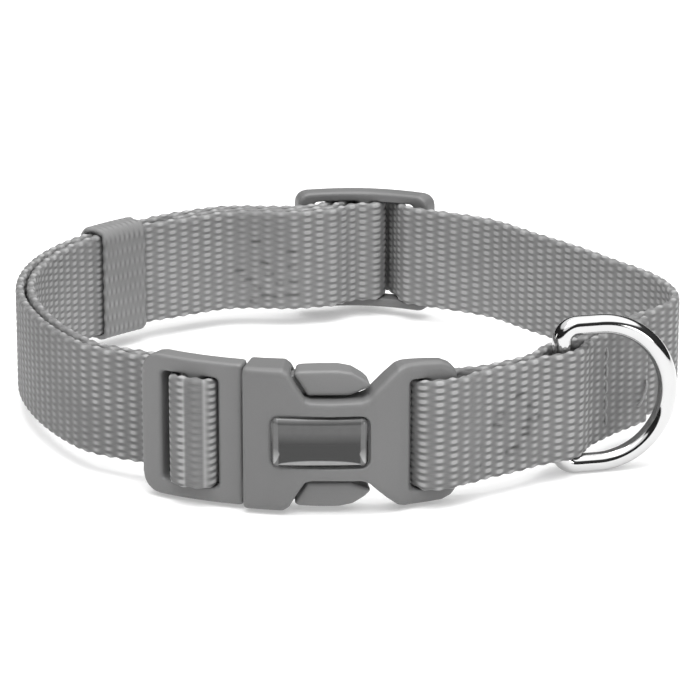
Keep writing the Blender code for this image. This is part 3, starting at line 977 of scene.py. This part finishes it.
def guide_of(name: str, data: bpy.types.Mesh | bpy.types.Curve) -> bpy.types.Object:
    """Links a passing object that a piece's mesh is worked out on.

    Args:
        name: The piece's name.
        data: What it starts from.

    Returns:
        The object.
    """
    guide = bpy.data.objects.new(name + "_guide", data)
    bpy.context.scene.collection.objects.link(guide)
    return guide


def take_mesh(guide: bpy.types.Object, name: str) -> bpy.types.Mesh:
    """Takes the mesh that a guide comes to, and removes the guide.

    Args:
        guide: The guide.
        name: The mesh's name.

    Returns:
        The mesh, smooth shaded.
    """
    graph = bpy.context.evaluated_depsgraph_get()
    mesh = bpy.data.meshes.new_from_object(guide.evaluated_get(graph))
    mesh.name = name
    bpy.data.objects.remove(guide)
    mesh.shade_smooth()
    return mesh


def wire_curve(name: str, radius: float, detail: int) -> bpy.types.Curve:
    """Starts a curve whose lines are round wire.

    Args:
        name: The curve's name.
        radius: The wire's radius.
        detail: How finely it is rounded.

    Returns:
        The curve, without lines yet.
    """
    curve = bpy.data.curves.new(name, "CURVE")
    curve.dimensions = "3D"
    curve.bevel_depth = radius
    curve.bevel_resolution = detail
    return curve


def add_line(curve: bpy.types.Curve, points: np.ndarray) -> bpy.types.Spline:
    """Adds a line to a curve.

    Args:
        curve: The curve.
        points: Rows of X, Y and Z.

    Returns:
        The line.
    """
    spline = curve.splines.new("POLY")
    spline.points.add(len(points) - 1)
    spline.points.foreach_set("co", np.column_stack([points, np.ones(len(points))]).ravel())
    return spline


class Strip:
    """A woven strip's mesh: a closed tube of a flat section swept along a line."""

    def __init__(self, width: float, thickness: float, weave: Weave, cells: int = 75) -> None:
        """Lays out the section.

        Args:
            width: The strip's width.
            thickness: Its mean thickness.
            weave: The relief on it.
            cells: How many cells its face has across.
        """
        self.weave = weave
        radius = thickness / 2
        top = width / 2 - radius
        face = np.linspace(-top, top, cells + 1)
        turn = np.radians(np.linspace(0, 180, 6))[1:-1]
        out, fall = np.sin(turn), np.cos(turn)
        ones, none = np.ones(cells + 1), np.zeros(cells + 1)
        self.across = np.concatenate([face, top + radius * out, face[::-1], -top - radius * out])
        self.sign = np.concatenate([ones, fall, -ones, -fall])
        self.lift = radius * self.sign
        self.edge = np.concatenate([none, out, none, out])
        self.tilt = np.concatenate([none, out, none, -out])

    def build(
        self,
        name: str,
        along: np.ndarray,
        put: Placing,
        pinch: Placing | None = None,
        marks: Marking | None = None,
        cyclic: bool = False,
    ) -> bpy.types.Mesh:
        """Makes the strip.

        Args:
            name: The mesh's name.
            along: The distance along the strip of each of its rings.
            put: Places points given their ring number, lift off the middle and place across.
            pinch: How far stitches pull a face in, given ring numbers, places across and sides.
            marks: The shader's attributes and their values, given the same.
            cyclic: Whether the strip closes on itself.

        Returns:
            The mesh, with its UV map in millimetres.
        """
        rings, count = len(along), len(self.lift)
        mesh = grid_mesh(name, rings - 1, count)
        co = read_points(mesh)
        ring = np.rint((co[:, 0] + 1) / 2 * (rings - 1)).astype(int)
        spot = np.rint((co[:, 1] + 1) / 2 * count).astype(int) % count
        s, t = along[ring], self.across[spot]
        face = self.weave.height(s, t) * (1 - self.edge[spot])
        relief = face + self.weave.edge(s) * self.edge[spot]
        lift = self.lift[spot] + self.sign[spot] * relief
        side = np.where(self.lift[spot] > 0, 1.0, -1.0)
        if pinch is not None:
            lift -= side * pinch(ring, t, side)
        for title, values in (marks(ring, t, side) if marks else {}).items():
            write_attribute(mesh, title, values)
        t = t + self.tilt[spot] * relief
        write_points(mesh, put(ring, lift, t))
        corners = np.empty(len(mesh.loops), np.int32)
        mesh.loops.foreach_get("vertex_index", corners)
        uv = np.stack([s[corners] / MM, t[corners] / MM], axis=1)
        mesh.uv_layers.new(name="weave").uv.foreach_set("vector", uv.astype(np.float32).ravel())
        return self._closed(mesh, cyclic)

    @staticmethod
    def _closed(mesh: bpy.types.Mesh, cyclic: bool) -> bpy.types.Mesh:
        """Joins the strip's seam, and closes its two ends unless they meet.

        Args:
            mesh: The strip, still open along one line.
            cyclic: Whether its ends meet.

        Returns:
            The same mesh, closed, with its faces outward.
        """
        bm = bmesh.new()
        bm.from_mesh(mesh)
        bmesh.ops.remove_doubles(bm, verts=bm.verts[:], dist=1e-7)
        if not cyclic:
            rim = [edge for edge in bm.edges if edge.is_boundary]
            bmesh.ops.holes_fill(bm, edges=rim, sides=0)
        bmesh.ops.recalc_face_normals(bm, faces=bm.faces[:])
        if bm.calc_volume(signed=True) < 0:
            bmesh.ops.reverse_faces(bm, faces=bm.faces[:])
        bm.to_mesh(mesh)
        bm.free()
        mesh.shade_smooth()
        return mesh


def place_piece(
    mesh: bpy.types.Mesh,
    material: bpy.types.Material,
    body: Body,
    replaced: tuple[str, ...] = (),
) -> bpy.types.Object:
    """Makes a finished piece of a mesh.

    Args:
        mesh: Its mesh, in place. The piece takes its name.
        material: Its finish.
        body: What it rides on.
        replaced: The CAD nodes that it replaces.

    Returns:
        The piece.
    """
    mesh.materials.clear()
    mesh.materials.append(material)
    piece = bpy.data.objects.new(mesh.name, mesh)
    bpy.context.scene.collection.objects.link(piece)
    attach(piece, body.value)
    if replaced:
        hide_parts(*replaced)
    LOG.info("%s: %d faces on %s", piece.name, len(mesh.polygons), body.value)
    return piece


@dataclass
class Seam:
    """A sewn line on a face, as points of place and height from the strap's middle.

    The face is the one on the side, 1 outer or -1 inner, of each layer that lies within slack of
    outward. A seam without thread is a buried stitch, which shows as a dimple alone.
    """

    points: list[tuple[float, float]]
    outward: float
    stitch: float = 2.3 * MM
    side: float = 1.0
    thread: bool = True
    slack: float = 0.4 * MM


@dataclass
class Strap:
    """The strap: one length of webbing, in runs that meet where a frame hides them."""

    loop: Loop
    sizes: StrapSizes = field(default_factory=StrapSizes)
    finish: WebbingFinish = field(default_factory=WebbingFinish)
    weave: Weave = field(default_factory=Weave)
    seams: list[Seam] = field(default_factory=list)
    core: float = 1.14 * MM
    # Painted light on the strap: its inner faces are painted paler, the crease lines over the prong
    # half's bar get painted highlights, and the buried stitches' dimples get painted shade.
    inner_painted_light: float = 0.20
    crease_width: float = 0.14 * MM
    creases: tuple[float, float] = (-0.75 * MM, 1.9 * MM)
    dimple_painted_shade: float = 0.5
    valley: float = 0.14 * MM
    thread_reach: float = 0.5 * MM
    dimple_reach: float = 0.3 * MM

    def build(self) -> list[bpy.types.Object]:
        """Builds and dresses the runs.

        Returns:
            The runs, from the front end on.
        """
        route = StrapRoute(self.loop, self.sizes)
        strip = Strip(self.sizes.width, self.core, self.weave)
        material = self.finish.make()
        ends = self._crossings(route)
        pieces = []
        for name, (first, last) in zip(
            ("strap_front_flap", "strap_right_run", "strap_left_run", "strap_back_run"),
            zip([0, *ends], [*ends, len(route.along) - 1]),
        ):
            mesh = self._run(name, route, strip, first, last)
            pieces.append(place_piece(mesh, material, Body.COLLAR, ("strap",)))
        return pieces

    def _crossings(self, route: StrapRoute) -> list[int]:
        """The first ring after each bar's half turn, or where the strap reaches the slider.

        Args:
            route: The strap's route.

        Returns:
            The rings that part the runs.
        """
        inner = route.outward < 0
        prong = self.loop.length + self.sizes.prong_bar
        slider = self.loop.place_of(self.sizes.slider_angle)
        at_socket = np.abs(route.place - self.sizes.socket_bar) < self.sizes.socket_span
        turn = int(np.argmax(inner & at_socket))
        middle = int(np.argmax(route.place > slider))
        later = route.along > route.along[middle]
        back = int(np.argmax(inner & (route.place > prong) & later))
        return [turn, middle, back]

    def _run(
        self, name: str, route: StrapRoute, strip: Strip, first: int, last: int
    ) -> bpy.types.Mesh:
        """One run of the strap.

        Args:
            name: The run's name.
            route: The strap's route.
            strip: The webbing's section.
            first: Its first ring.
            last: Its last ring.

        Returns:
            Its mesh.
        """
        rings = slice(first, last + 1)
        points, aside = route.points[rings], route.side[rings]
        place, outward = route.place[rings], route.outward[rings]
        squeeze = 1.0 - self.sizes.slot_squeeze * self._in_slot(place, outward)
        ahead = np.where(np.gradient(place) < 0, -1.0, 1.0)

        def put(ring: np.ndarray, lift: np.ndarray, across: np.ndarray) -> np.ndarray:
            """Places points of the run."""
            plan = points[ring, :2] + aside[ring] * lift[:, None]
            return np.column_stack([plan, MIDDLE_HEIGHT + across * squeeze[ring]])

        def pinch(ring: np.ndarray, across: np.ndarray, side: np.ndarray) -> np.ndarray:
            """How far the seams pull the face in."""
            face = side * ahead[ring]
            return self.valley * self._near(self.seams, place[ring], outward[ring], across, face)

        def marks(ring: np.ndarray, across: np.ndarray, side: np.ndarray) -> dict:
            """Where the face is painted paler or darker, and where its painted highlight spots are
            damped.
            """
            at = (place[ring], outward[ring], across, side * ahead[ring])
            return {"painted_light_mark": self._painted_light_marks(*at), "painted_light_damping": self._painted_light_damping(at[0], at[3])}

        return strip.build(name, route.along[rings], put, pinch, marks)

    def _painted_light_damping(self, place: np.ndarray, side: np.ndarray) -> np.ndarray:
        """How much the weave's painted highlight spots and painted shade are damped: where the
        floating yarns are sewn down, bent or turned away from the lights.

        Args:
            place: Where each point is along the collar.
            side: 1 on an outer face, -1 on an inner one.

        Returns:
            The shares, from 0 to 1.
        """
        around = self.loop.length
        bar = around + self.sizes.prong_bar
        slider = self.loop.place_of(self.sizes.slider_angle)
        # The first and last place, which face, and how much.
        sewn_end = (18.5 * MM, 23.0 * MM, 1.0, 0.6)
        past_ring = (41.5 * MM, 62.0 * MM, 1.0, 0.5)
        slider_flap = (slider + 10.0 * MM, slider + 25.0 * MM, -1.0, 0.65)
        far_left = (around - 95.0 * MM, around - 26.0 * MM, 1.0, 0.65)
        over_bar = (bar - 0.7 * MM, bar + 1.9 * MM, 1.0, 0.85)
        painted_light_damping = np.zeros(len(place))
        for first, last, face, share in (sewn_end, past_ring, slider_flap, far_left, over_bar):
            inside = soft_band(place, first, last, (last - first) / 4)
            painted_light_damping = np.maximum(painted_light_damping, share * inside * (side == face))
        return painted_light_damping

    def _painted_light_marks(
        self, place: np.ndarray, outward: np.ndarray, across: np.ndarray, side: np.ndarray
    ) -> np.ndarray:
        """Painted light: paler inner faces, painted highlights on the crease lines over the prong
        half's bar, and painted shade in the dimples.

        Args:
            place: Where each point is along the collar.
            outward: How far outward its layer lies.
            across: Its height from the strap's middle.
            side: 1 on an outer face, -1 on an inner one.

        Returns:
            The painted light: above 0 where paler.
        """
        marks = self.inner_painted_light * (side < 0)
        bar = self.loop.length + self.sizes.prong_bar
        over = (outward > self.sizes.wrap - 0.75 * MM) & (side > 0)
        for crease in self.creases:
            marks = marks + over * np.exp(-(((place - bar - crease) / self.crease_width) ** 2))
        buried = [seam for seam in self.seams if not seam.thread]
        return marks - self.dimple_painted_shade * self._near(buried, place, outward, across, side)

    def _in_slot(self, place: np.ndarray, outward: np.ndarray) -> np.ndarray:
        """How far each ring is inside a slot, where the webbing bunches up: 0 to 1.

        Args:
            place: Where the rings are along the collar.
            outward: How far outward they lie.

        Returns:
            The shares.
        """
        sizes = self.sizes
        around = self.loop.length
        inside = (place > around + sizes.prong_left) & (place < around + sizes.prong_right)
        inside |= np.abs(place - sizes.socket_bar) < sizes.socket_span
        return inside * np.clip((sizes.slot_level - np.abs(outward)) / MM, 0.0, 1.0)

    def _near(
        self,
        seams: list[Seam],
        place: np.ndarray,
        outward: np.ndarray,
        across: np.ndarray,
        side: np.ndarray,
    ) -> np.ndarray:
        """How near each point is to a seam.

        Args:
            seams: The seams.
            place: Where each point is along the collar.
            outward: How far outward its layer lies.
            across: Its height from the strap's middle.
            side: 1 on an outer face, -1 on an inner one.

        Returns:
            The nearness: 1 on a seam, down to 0 away from all.
        """
        depth = np.zeros(len(place))
        for seam in seams:
            near = (np.abs(outward - seam.outward) < seam.slack) & (side == seam.side)
            reach = self.thread_reach if seam.thread else self.dimple_reach
            spots = np.stack([place[near], across[near]], axis=1)
            valley = np.zeros(len(spots))
            for start, end in zip(seam.points, seam.points[1:]):
                a, b = np.array(start), np.array(end)
                line = b - a
                share = np.clip(((spots - a) @ line) / (line @ line), 0.0, 1.0)
                away = np.linalg.norm(spots - a - share[:, None] * line, axis=1)
                valley = np.maximum(valley, np.exp(-((away / reach) ** 2)))
            depth[near] = np.maximum(depth[near], valley)
        return depth


@dataclass
class Stitching:
    """The thread of the sewn lines, stitch by stitch."""

    loop: Loop
    seams: list[Seam]
    finish: ThreadFinish = field(default_factory=ThreadFinish)
    radius: float = 0.21 * MM
    face: float = 0.76 * MM
    gap: float = 0.08

    def build(self) -> bpy.types.Object:
        """Builds and dresses the thread.

        Returns:
            All of it, as one piece.
        """
        curve = wire_curve("stitching", self.radius, 1)
        curve.use_fill_caps = True
        for seam in (seam for seam in self.seams if seam.thread):
            for start, end in self._stitches(seam):
                self._add(curve, seam, start, end)
        mesh = take_mesh(guide_of("stitching", curve), "stitching")
        return place_piece(mesh, self.finish.make(), Body.COLLAR)

    def _stitches(self, seam: Seam) -> list[tuple[np.ndarray, np.ndarray]]:
        """Parts a seam into stitches.

        Args:
            seam: The seam.

        Returns:
            The start and end of each stitch, in place and height.
        """
        found = []
        for start, end in zip(seam.points, seam.points[1:]):
            a, b = np.array(start), np.array(end)
            count = max(1, round(float(np.linalg.norm(b - a)) / seam.stitch))
            for index in range(count):
                low, high = (index + self.gap) / count, (index + 1.0 - self.gap) / count
                found.append((a + (b - a) * low, a + (b - a) * high))
        return found

    def _add(self, curve: bpy.types.Curve, seam: Seam, start: np.ndarray, end: np.ndarray) -> None:
        """Adds a stitch that dips into the webbing at both ends.

        Args:
            curve: The curve of all the thread.
            seam: Its seam.
            start: Its start, in place and height.
            end: Its end.
        """
        shares, rises = np.array(STITCH_SHAPE).T
        spots = start + (end - start) * shares[:, None]
        lift = seam.outward + self.face + rises * MM
        add_line(curve, self.loop.wrap(spots[:, 0], lift, MIDDLE_HEIGHT + spots[:, 1]))


@dataclass
class Keeper:
    """The webbing band that holds the doubled strap."""

    loop: Loop
    angle: float = 141.0
    width: float = 8.6 * MM
    thickness: float = 0.9 * MM
    half_inner: float = 1.8 * MM
    half_height: float = 7.85 * MM
    corner: float = 1.25 * MM
    step: float = 0.28 * MM
    weave: Weave = field(default_factory=lambda: Weave(float_rise=0.06 * MM, yarn_round=0.06 * MM))
    # Fainter painted highlight spots and a weaker bump than the strap's webbing.
    finish: WebbingFinish = field(
        default_factory=lambda: WebbingFinish("keeper_webbing", body=0.55, painted_highlight_spot=0.14, relief=0.25)
    )

    def build(self) -> bpy.types.Object:
        """Builds and dresses the band.

        Returns:
            The piece.
        """
        out = self.half_inner + self.thickness / 2 - self.corner
        up = self.half_height + self.thickness / 2 - self.corner
        line = []
        for x, z, start in ((out, up, 0), (-out, up, 90), (-out, -up, 180), (out, -up, 270)):
            line += arc(x, z, self.corner, start, start + 90, 8)
        line.append(line[0])
        path = np.array(line)
        gone = np.concatenate([[0.0], np.cumsum(np.linalg.norm(np.diff(path, axis=0), axis=1))])
        count = int(gone[-1] / self.step)
        along = np.linspace(0.0, gone[-1], count + 1)
        path = np.stack([np.interp(along, gone, path[:, axis]) for axis in (0, 1)], axis=1)
        heading = np.gradient(path, axis=0)
        heading[0] = heading[-1] = heading[0] + heading[-1]
        heading /= np.linalg.norm(heading, axis=1)[:, None]
        normal = np.stack([heading[:, 1], -heading[:, 0]], axis=1)
        place = self.loop.place_of(self.angle)

        def put(ring: np.ndarray, lift: np.ndarray, across: np.ndarray) -> np.ndarray:
            """Places points of the band."""
            spot = path[ring] + normal[ring] * lift[:, None]
            return self.loop.wrap(place + across, spot[:, 0], MIDDLE_HEIGHT + spot[:, 1])

        strip = Strip(self.width, self.thickness * 0.85, self.weave, cells=40)
        mesh = strip.build("keeper_band", along, put, cyclic=True)
        return place_piece(mesh, self.finish.make(), Body.COLLAR, ("keeper_loop",))


@dataclass
class Moulding:
    """A moulded part: its solid, refined until every edge and bend is rounded."""

    source: bpy.types.Object
    node: str
    name: str
    slot: Slot
    finish: PlasticFinish
    cell: float = 0.16 * MM
    passes: int = 6

    def build(self) -> bpy.types.Object:
        """Builds and dresses the part.

        Returns:
            The piece.
        """
        bm = bmesh.new()
        bm.from_mesh(self.source.data)
        bmesh.ops.remove_doubles(bm, verts=bm.verts[:], dist=1e-6)
        rough = bpy.data.meshes.new(self.name + "_rough")
        bm.to_mesh(rough)
        bm.free()
        guide = guide_of(self.name, rough)
        remesh = guide.modifiers.new("cells", "REMESH")
        remesh.mode = "VOXEL"
        remesh.voxel_size = self.cell
        smooth = guide.modifiers.new("soften", "SMOOTH")
        smooth.factor = 0.5
        smooth.iterations = self.passes
        mesh = take_mesh(guide, self.name)
        return place_piece(mesh, self.finish.make(), Body.COLLAR, (self.node,))


@dataclass
class Badge:
    """The bare inset on the socket: a dark domed plate in its seat."""

    loop: Loop
    half_length: float = 6.2 * MM
    half_height: float = 3.45 * MM
    corner: float = 0.9 * MM
    bevel: float = 1.15 * MM
    back: float = 2.75 * MM
    rim: float = 0.35 * MM
    rise: float = 0.75 * MM
    # Shares, places and softness of the painted highlight on the dome.
    low_painted_highlight: float = 0.42
    side_painted_highlight: float = 0.5
    bevel_painted_highlight: float = 0.16
    top_painted_light: float = 0.10
    painted_highlight_from: float = 0.3 * MM
    painted_highlight_to: float = 1.1 * MM
    painted_highlight_thin: float = 0.35 * MM
    painted_highlight_soft: float = 0.14 * MM
    finish: GlossFinish = field(default_factory=GlossFinish)

    def build(self) -> bpy.types.Object:
        """Builds and dresses the badge.

        Returns:
            The piece.
        """
        mesh = grid_mesh("badge_dome", 150, 90)
        co = read_points(mesh)
        flat = self._dome(co[:, 0], co[:, 1])
        write_points(mesh, flat)
        write_attribute(mesh, "painted_highlight", self._painted_highlight(flat[:, 0], flat[:, 2]))
        self._skirt(mesh)
        co = read_points(mesh)
        write_points(mesh, self.loop.wrap(co[:, 0], co[:, 1], MIDDLE_HEIGHT + co[:, 2]))
        self._face_out(mesh)
        mesh.shade_smooth()
        mesh.set_sharp_from_angle(angle=math.radians(50))
        return place_piece(mesh, self.finish.make(), Body.COLLAR, ("badge",))

    def _skirt(self, mesh: bpy.types.Mesh) -> None:
        """Takes the dome's rim back to its seat and closes it there.

        Args:
            mesh: The dome, in its flat layout.
        """
        bm = bmesh.new()
        bm.from_mesh(mesh)
        rim = [edge for edge in bm.edges if edge.is_boundary]
        made = bmesh.ops.extrude_edge_only(bm, edges=rim)["geom"]
        for item in made:
            if isinstance(item, bmesh.types.BMVert):
                item.co.y = self.back
        closing = [item for item in made if isinstance(item, bmesh.types.BMEdge)]
        bmesh.ops.holes_fill(bm, edges=[edge for edge in closing if edge.is_boundary], sides=0)
        bmesh.ops.recalc_face_normals(bm, faces=bm.faces[:])
        bm.to_mesh(mesh)
        bm.free()

    @staticmethod
    def _face_out(mesh: bpy.types.Mesh) -> None:
        """Turns a closed mesh's faces outward.

        Args:
            mesh: The mesh.
        """
        bm = bmesh.new()
        bm.from_mesh(mesh)
        if bm.calc_volume(signed=True) < 0:
            bmesh.ops.reverse_faces(bm, faces=bm.faces[:])
        bm.to_mesh(mesh)
        bm.free()

    def _painted_highlight(self, x: np.ndarray, z: np.ndarray) -> np.ndarray:
        """The painted highlight on the dome: most along its lower rim and low on each side, fainter
        on the bevel and a little on its upper half.

        Args:
            x: Metres along the badge.
            z: Metres up it.

        Returns:
            The shares, from 0 to 1.
        """
        up = z + self.half_height
        away = self.half_length - np.abs(x)
        span = np.clip(1.0 - (x / (self.half_length - 0.9 * MM)) ** 2, 0.0, 1.0)
        reach = np.clip(np.minimum(up - 0.45 * MM, 3.4 * MM - up) / (1.4 * MM), 0.0, 1.0)
        low_to = self.painted_highlight_thin + 0.75 * MM * np.sqrt(span)
        side_to = self.painted_highlight_thin + 0.85 * MM * np.sqrt(reach)
        low = soft_band(up, 0.28 * MM, low_to, self.painted_highlight_soft) * (span > 0.0)
        sides = soft_band(away, self.painted_highlight_from, side_to, self.painted_highlight_soft) * (reach > 0.0)
        bevels = soft_band(away, self.painted_highlight_from, self.painted_highlight_to, self.painted_highlight_soft)
        top = np.clip((z + 0.1 * MM) / (1.6 * MM), 0.0, 1.0)
        fade = np.clip((3.6 * MM - up) / (2.6 * MM), 0.0, 1.0)
        return np.maximum.reduce(
            [
                low * self.low_painted_highlight,
                sides * fade * self.side_painted_highlight,
                bevels * self.bevel_painted_highlight,
                top * self.top_painted_light,
            ]
        )

    def _dome(self, u: np.ndarray, v: np.ndarray) -> np.ndarray:
        """The dome's face in its flat layout.

        Args:
            u: Shares along, from -1 to 1.
            v: Shares up, from -1 to 1.

        Returns:
            Rows of place, outward and height.
        """
        ease_u, ease_v = (np.sign(share) * (1 - (1 - np.abs(share)) ** 1.6) for share in (u, v))
        x, z = ease_u * self.half_length, ease_v * self.half_height
        over_x = np.clip(np.abs(x) - (self.half_length - self.corner), 0, None)
        over_z = np.clip(np.abs(z) - (self.half_height - self.corner), 0, None)
        far = np.hypot(over_x, over_z)
        square = np.maximum(over_x, over_z)
        pull = np.where(far > 0, square / np.where(far > 0, far, 1), 1.0)
        x -= np.sign(x) * over_x * (1 - pull)
        z -= np.sign(z) * over_z * (1 - pull)
        inset = np.minimum(
            1 - np.abs(ease_u), (1 - np.abs(ease_v)) * self.half_height / self.half_length
        ) * (self.half_length / self.bevel)
        inset = np.clip(inset, 0.0, 1.0)
        height = self.rim + self.rise * np.sqrt(1 - (1 - inset) ** 2)
        return np.stack([x, self.back + height, z], axis=1)


@dataclass
class Ring:
    """The chromed ring: a closed wire with one straight side."""

    loop: Loop
    wire: float = RING_WIRE
    inner_height: float = 17.4 * MM
    reach: float = 15.4 * MM
    corner: float = 2.2 * MM
    place: float = RING_PLACE
    turn: float = -34.0
    level: float = 11.4 * MM
    finish: ChromeFinish = field(default_factory=ChromeFinish)

    def build(self) -> bpy.types.Object:
        """Builds and dresses the ring.

        Returns:
            The piece.
        """
        half = (self.inner_height + self.wire) / 2
        line = [(0.0, z) for z in np.linspace(-half + self.corner, half - self.corner, 8)]
        line += arc(self.corner, half - self.corner, self.corner, 180, 90, 10)[1:]
        line += arc(self.reach - half, 0.0, half, 90, -90, 64)
        line += arc(self.corner, self.corner - half, self.corner, -90, -180, 10)[:-1]
        curve = wire_curve("ring_wire", self.wire / 2, 10)
        points = np.array([(reach, 0.0, up) for reach, up in line])
        add_line(curve, points).use_cyclic_u = True
        mesh = take_mesh(guide_of("ring_wire", curve), "ring_wire")
        ahead, here = self.loop.wrap(
            np.array([self.place + 0.1 * MM, self.place]), np.zeros(2), np.full(2, self.level)
        )
        swing = math.atan2(ahead[1] - here[1], ahead[0] - here[0]) + math.radians(self.turn)
        mesh.transform(Matrix.Translation(Vector(here)) @ Matrix.Rotation(swing, 4, "Z"))
        return place_piece(mesh, self.finish.make(), Body.RING, ("d_ring",))


@dataclass
class Softbox:
    """A round area light that points at the collar. Azimuth 0 is the camera's side."""

    name: str
    azimuth: float
    elevation: float
    distance: float
    size: float
    power: float

    def build(self) -> None:
        """Adds the light."""
        data = bpy.data.lights.new(self.name, "AREA")
        data.shape = "DISK"
        data.size = self.size
        data.energy = self.power
        lamp = bpy.data.objects.new(self.name, data)
        turn, lift = math.radians(self.azimuth), math.radians(self.elevation)
        level = math.cos(lift)
        where = Vector((math.sin(turn) * level, -math.cos(turn) * level, math.sin(lift)))
        lamp.location = where * self.distance
        lamp.rotation_euler = where.to_track_quat("Z", "Y").to_euler()
        bpy.context.scene.collection.objects.link(lamp)


@dataclass
class Studio:
    """The pale floor, the soft lights and the camera."""

    target: Vector = field(default_factory=lambda: Vector((0.54, -6.47, 10.6)) * MM)
    elevation: float = 18.0
    distance: float = 560.0 * MM
    lens: float = 199.85
    drop: float = 0.43 * MM
    left_fade: float = 0.40
    sky_stops: tuple[tuple[float, float], ...] = (
        (0.0, 0.02),
        (0.56, 0.05),
        (0.64, 1.55),
        (1.0, 1.75),
    )

    def build(self) -> None:
        """Builds the floor, lights and camera."""
        self._camera()
        self._floor()
        bpy.context.scene.view_settings.view_transform = "Standard"
        world = bpy.data.worlds.new("studio")
        world.use_nodes = True
        self._sky(world.node_tree)
        bpy.context.scene.world = world
        for light in (
            Softbox("overhead", 0.0, 80.0, distance=0.9, size=0.7, power=6.2),
            Softbox("left_side", -84.0, 10.0, distance=0.9, size=0.22, power=0.2),
            Softbox("right_side", 48.0, 10.0, distance=0.9, size=0.26, power=0.8),
            Softbox("front", -8.0, 42.0, distance=1.0, size=0.8, power=1.8),
        ):
            light.build()

    def _sky(self, tree: bpy.types.NodeTree) -> None:
        """Gives the world a bright ceiling over dark walls, dimmer to the left.

        Args:
            tree: The world's nodes.
        """
        place = tree.nodes.new("ShaderNodeTexCoord")
        split = tree.nodes.new("ShaderNodeSeparateXYZ")
        ramp = tree.nodes.new("ShaderNodeValToRGB")
        elements = ramp.color_ramp.elements
        while len(elements) < len(self.sky_stops):
            elements.new(1.0)
        for element, (height, grey) in zip(elements, self.sky_stops):
            element.position = height
            element.color = (grey, grey, grey, 1.0)
        tree.links.new(place.outputs["Generated"], split.inputs[0])
        tree.links.new(split.outputs["Z"], ramp.inputs[0])
        fade = tree.nodes.new("ShaderNodeMath")
        fade.operation = "MULTIPLY_ADD"
        fade.inputs[1].default_value = self.left_fade
        fade.inputs[2].default_value = 1.0
        tree.links.new(split.outputs["X"], fade.inputs[0])
        scaled = tree.nodes.new("ShaderNodeVectorMath")
        scaled.operation = "SCALE"
        tree.links.new(ramp.outputs[0], scaled.inputs[0])
        tree.links.new(fade.outputs[0], scaled.inputs["Scale"])
        tree.links.new(scaled.outputs[0], tree.nodes["Background"].inputs["Color"])

    def _camera(self) -> None:
        """Adds the camera at the photograph's angle."""
        data = bpy.data.cameras.new("camera")
        data.lens = self.lens
        data.sensor_width = 36.0
        data.clip_start = 0.01
        data.clip_end = 20.0
        camera = bpy.data.objects.new("camera", data)
        lift = math.radians(self.elevation)
        away = Vector((0.0, -math.cos(lift), math.sin(lift)))
        up = Vector((0.0, math.sin(lift), math.cos(lift)))
        camera.location = self.target + away * self.distance - up * self.drop
        camera.rotation_euler = (math.radians(90.0 - self.elevation), 0.0, 0.0)
        bpy.context.scene.collection.objects.link(camera)
        bpy.context.scene.camera = camera

    def _floor(self) -> None:
        """Adds the floor."""
        mesh = grid_mesh("studio_floor", 8, 8, 4.0)
        mesh.materials.append(FloorFinish().make())
        floor = bpy.data.objects.new("studio_floor", mesh)
        bpy.context.scene.collection.objects.link(floor)


def seams(sizes: StrapSizes, loop: Loop) -> list[Seam]:
    """The sewn lines and buried stitches of both flaps.

    Args:
        sizes: The strap's sizes.
        loop: The collar's loop.

    Returns:
        The front flap's on its outer face, and the slider flap's on the inner faces.
    """
    half = sizes.pitch / 2
    edge = 6.0 * MM
    half_dash = 0.45 * MM
    first = sizes.socket_bar + 3.9 * MM
    tack = sizes.ring_place + 9.0 * MM
    end = sizes.ring_place + sizes.buckle_flap
    loose = [(end - 0.3 * MM, -1.2 * MM), (end - 2.6 * MM, -5.1 * MM)]
    slider = loop.place_of(sizes.slider_angle)
    found = [
        Seam([(first, edge), (first, -edge)], half),
        Seam([(tack, edge), (tack, -edge)], half),
        Seam(loose, half + 0.45 * MM, stitch=9.0 * MM),
    ]
    for rows, start, outward, side, slack in (
        (DIMPLES, slider, -4.2 * MM, -1.0, 2.8 * MM),
        (FRONT_DIMPLES, 0.0, half, 1.0, 0.4 * MM),
    ):
        for place, height in rows:
            spot, up = start + place * MM, height * MM
            dash = [(spot - half_dash, up), (spot + half_dash, up)]
            found.append(Seam(dash, outward, side=side, thread=False, slack=slack))
    return found


def main(frame: dict) -> None:
    """Builds the collar's pieces and the studio, in order.
    """
    nodes = frame["nodes"]
    Studio().build()
    loop = Loop()
    sizes = StrapSizes()
    sewn = seams(sizes, loop)
    Strap(loop, sizes, seams=sewn).build()
    Stitching(loop, sewn).build()
    Keeper(loop).build()
    for node, name, slot, finish in (
        ("buckle_socket", "socket_shell", Slot.BUCKLE, PlasticFinish("buckle_plastic", 0.142)),
        ("buckle_prong", "prong_shell", Slot.BUCKLE, PlasticFinish("prong_plastic", 0.163)),
        ("slider", "slider_shell", Slot.SLIDER, PlasticFinish("slider_plastic", 0.145)),
    ):
        Moulding(nodes[node], node, name, slot, finish).build()
    Badge(loop).build()
    Ring(loop).build()


if __name__ == "__main__":
    logging.basicConfig(level=logging.INFO, format="%(message)s")
    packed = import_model()
    main(packed)
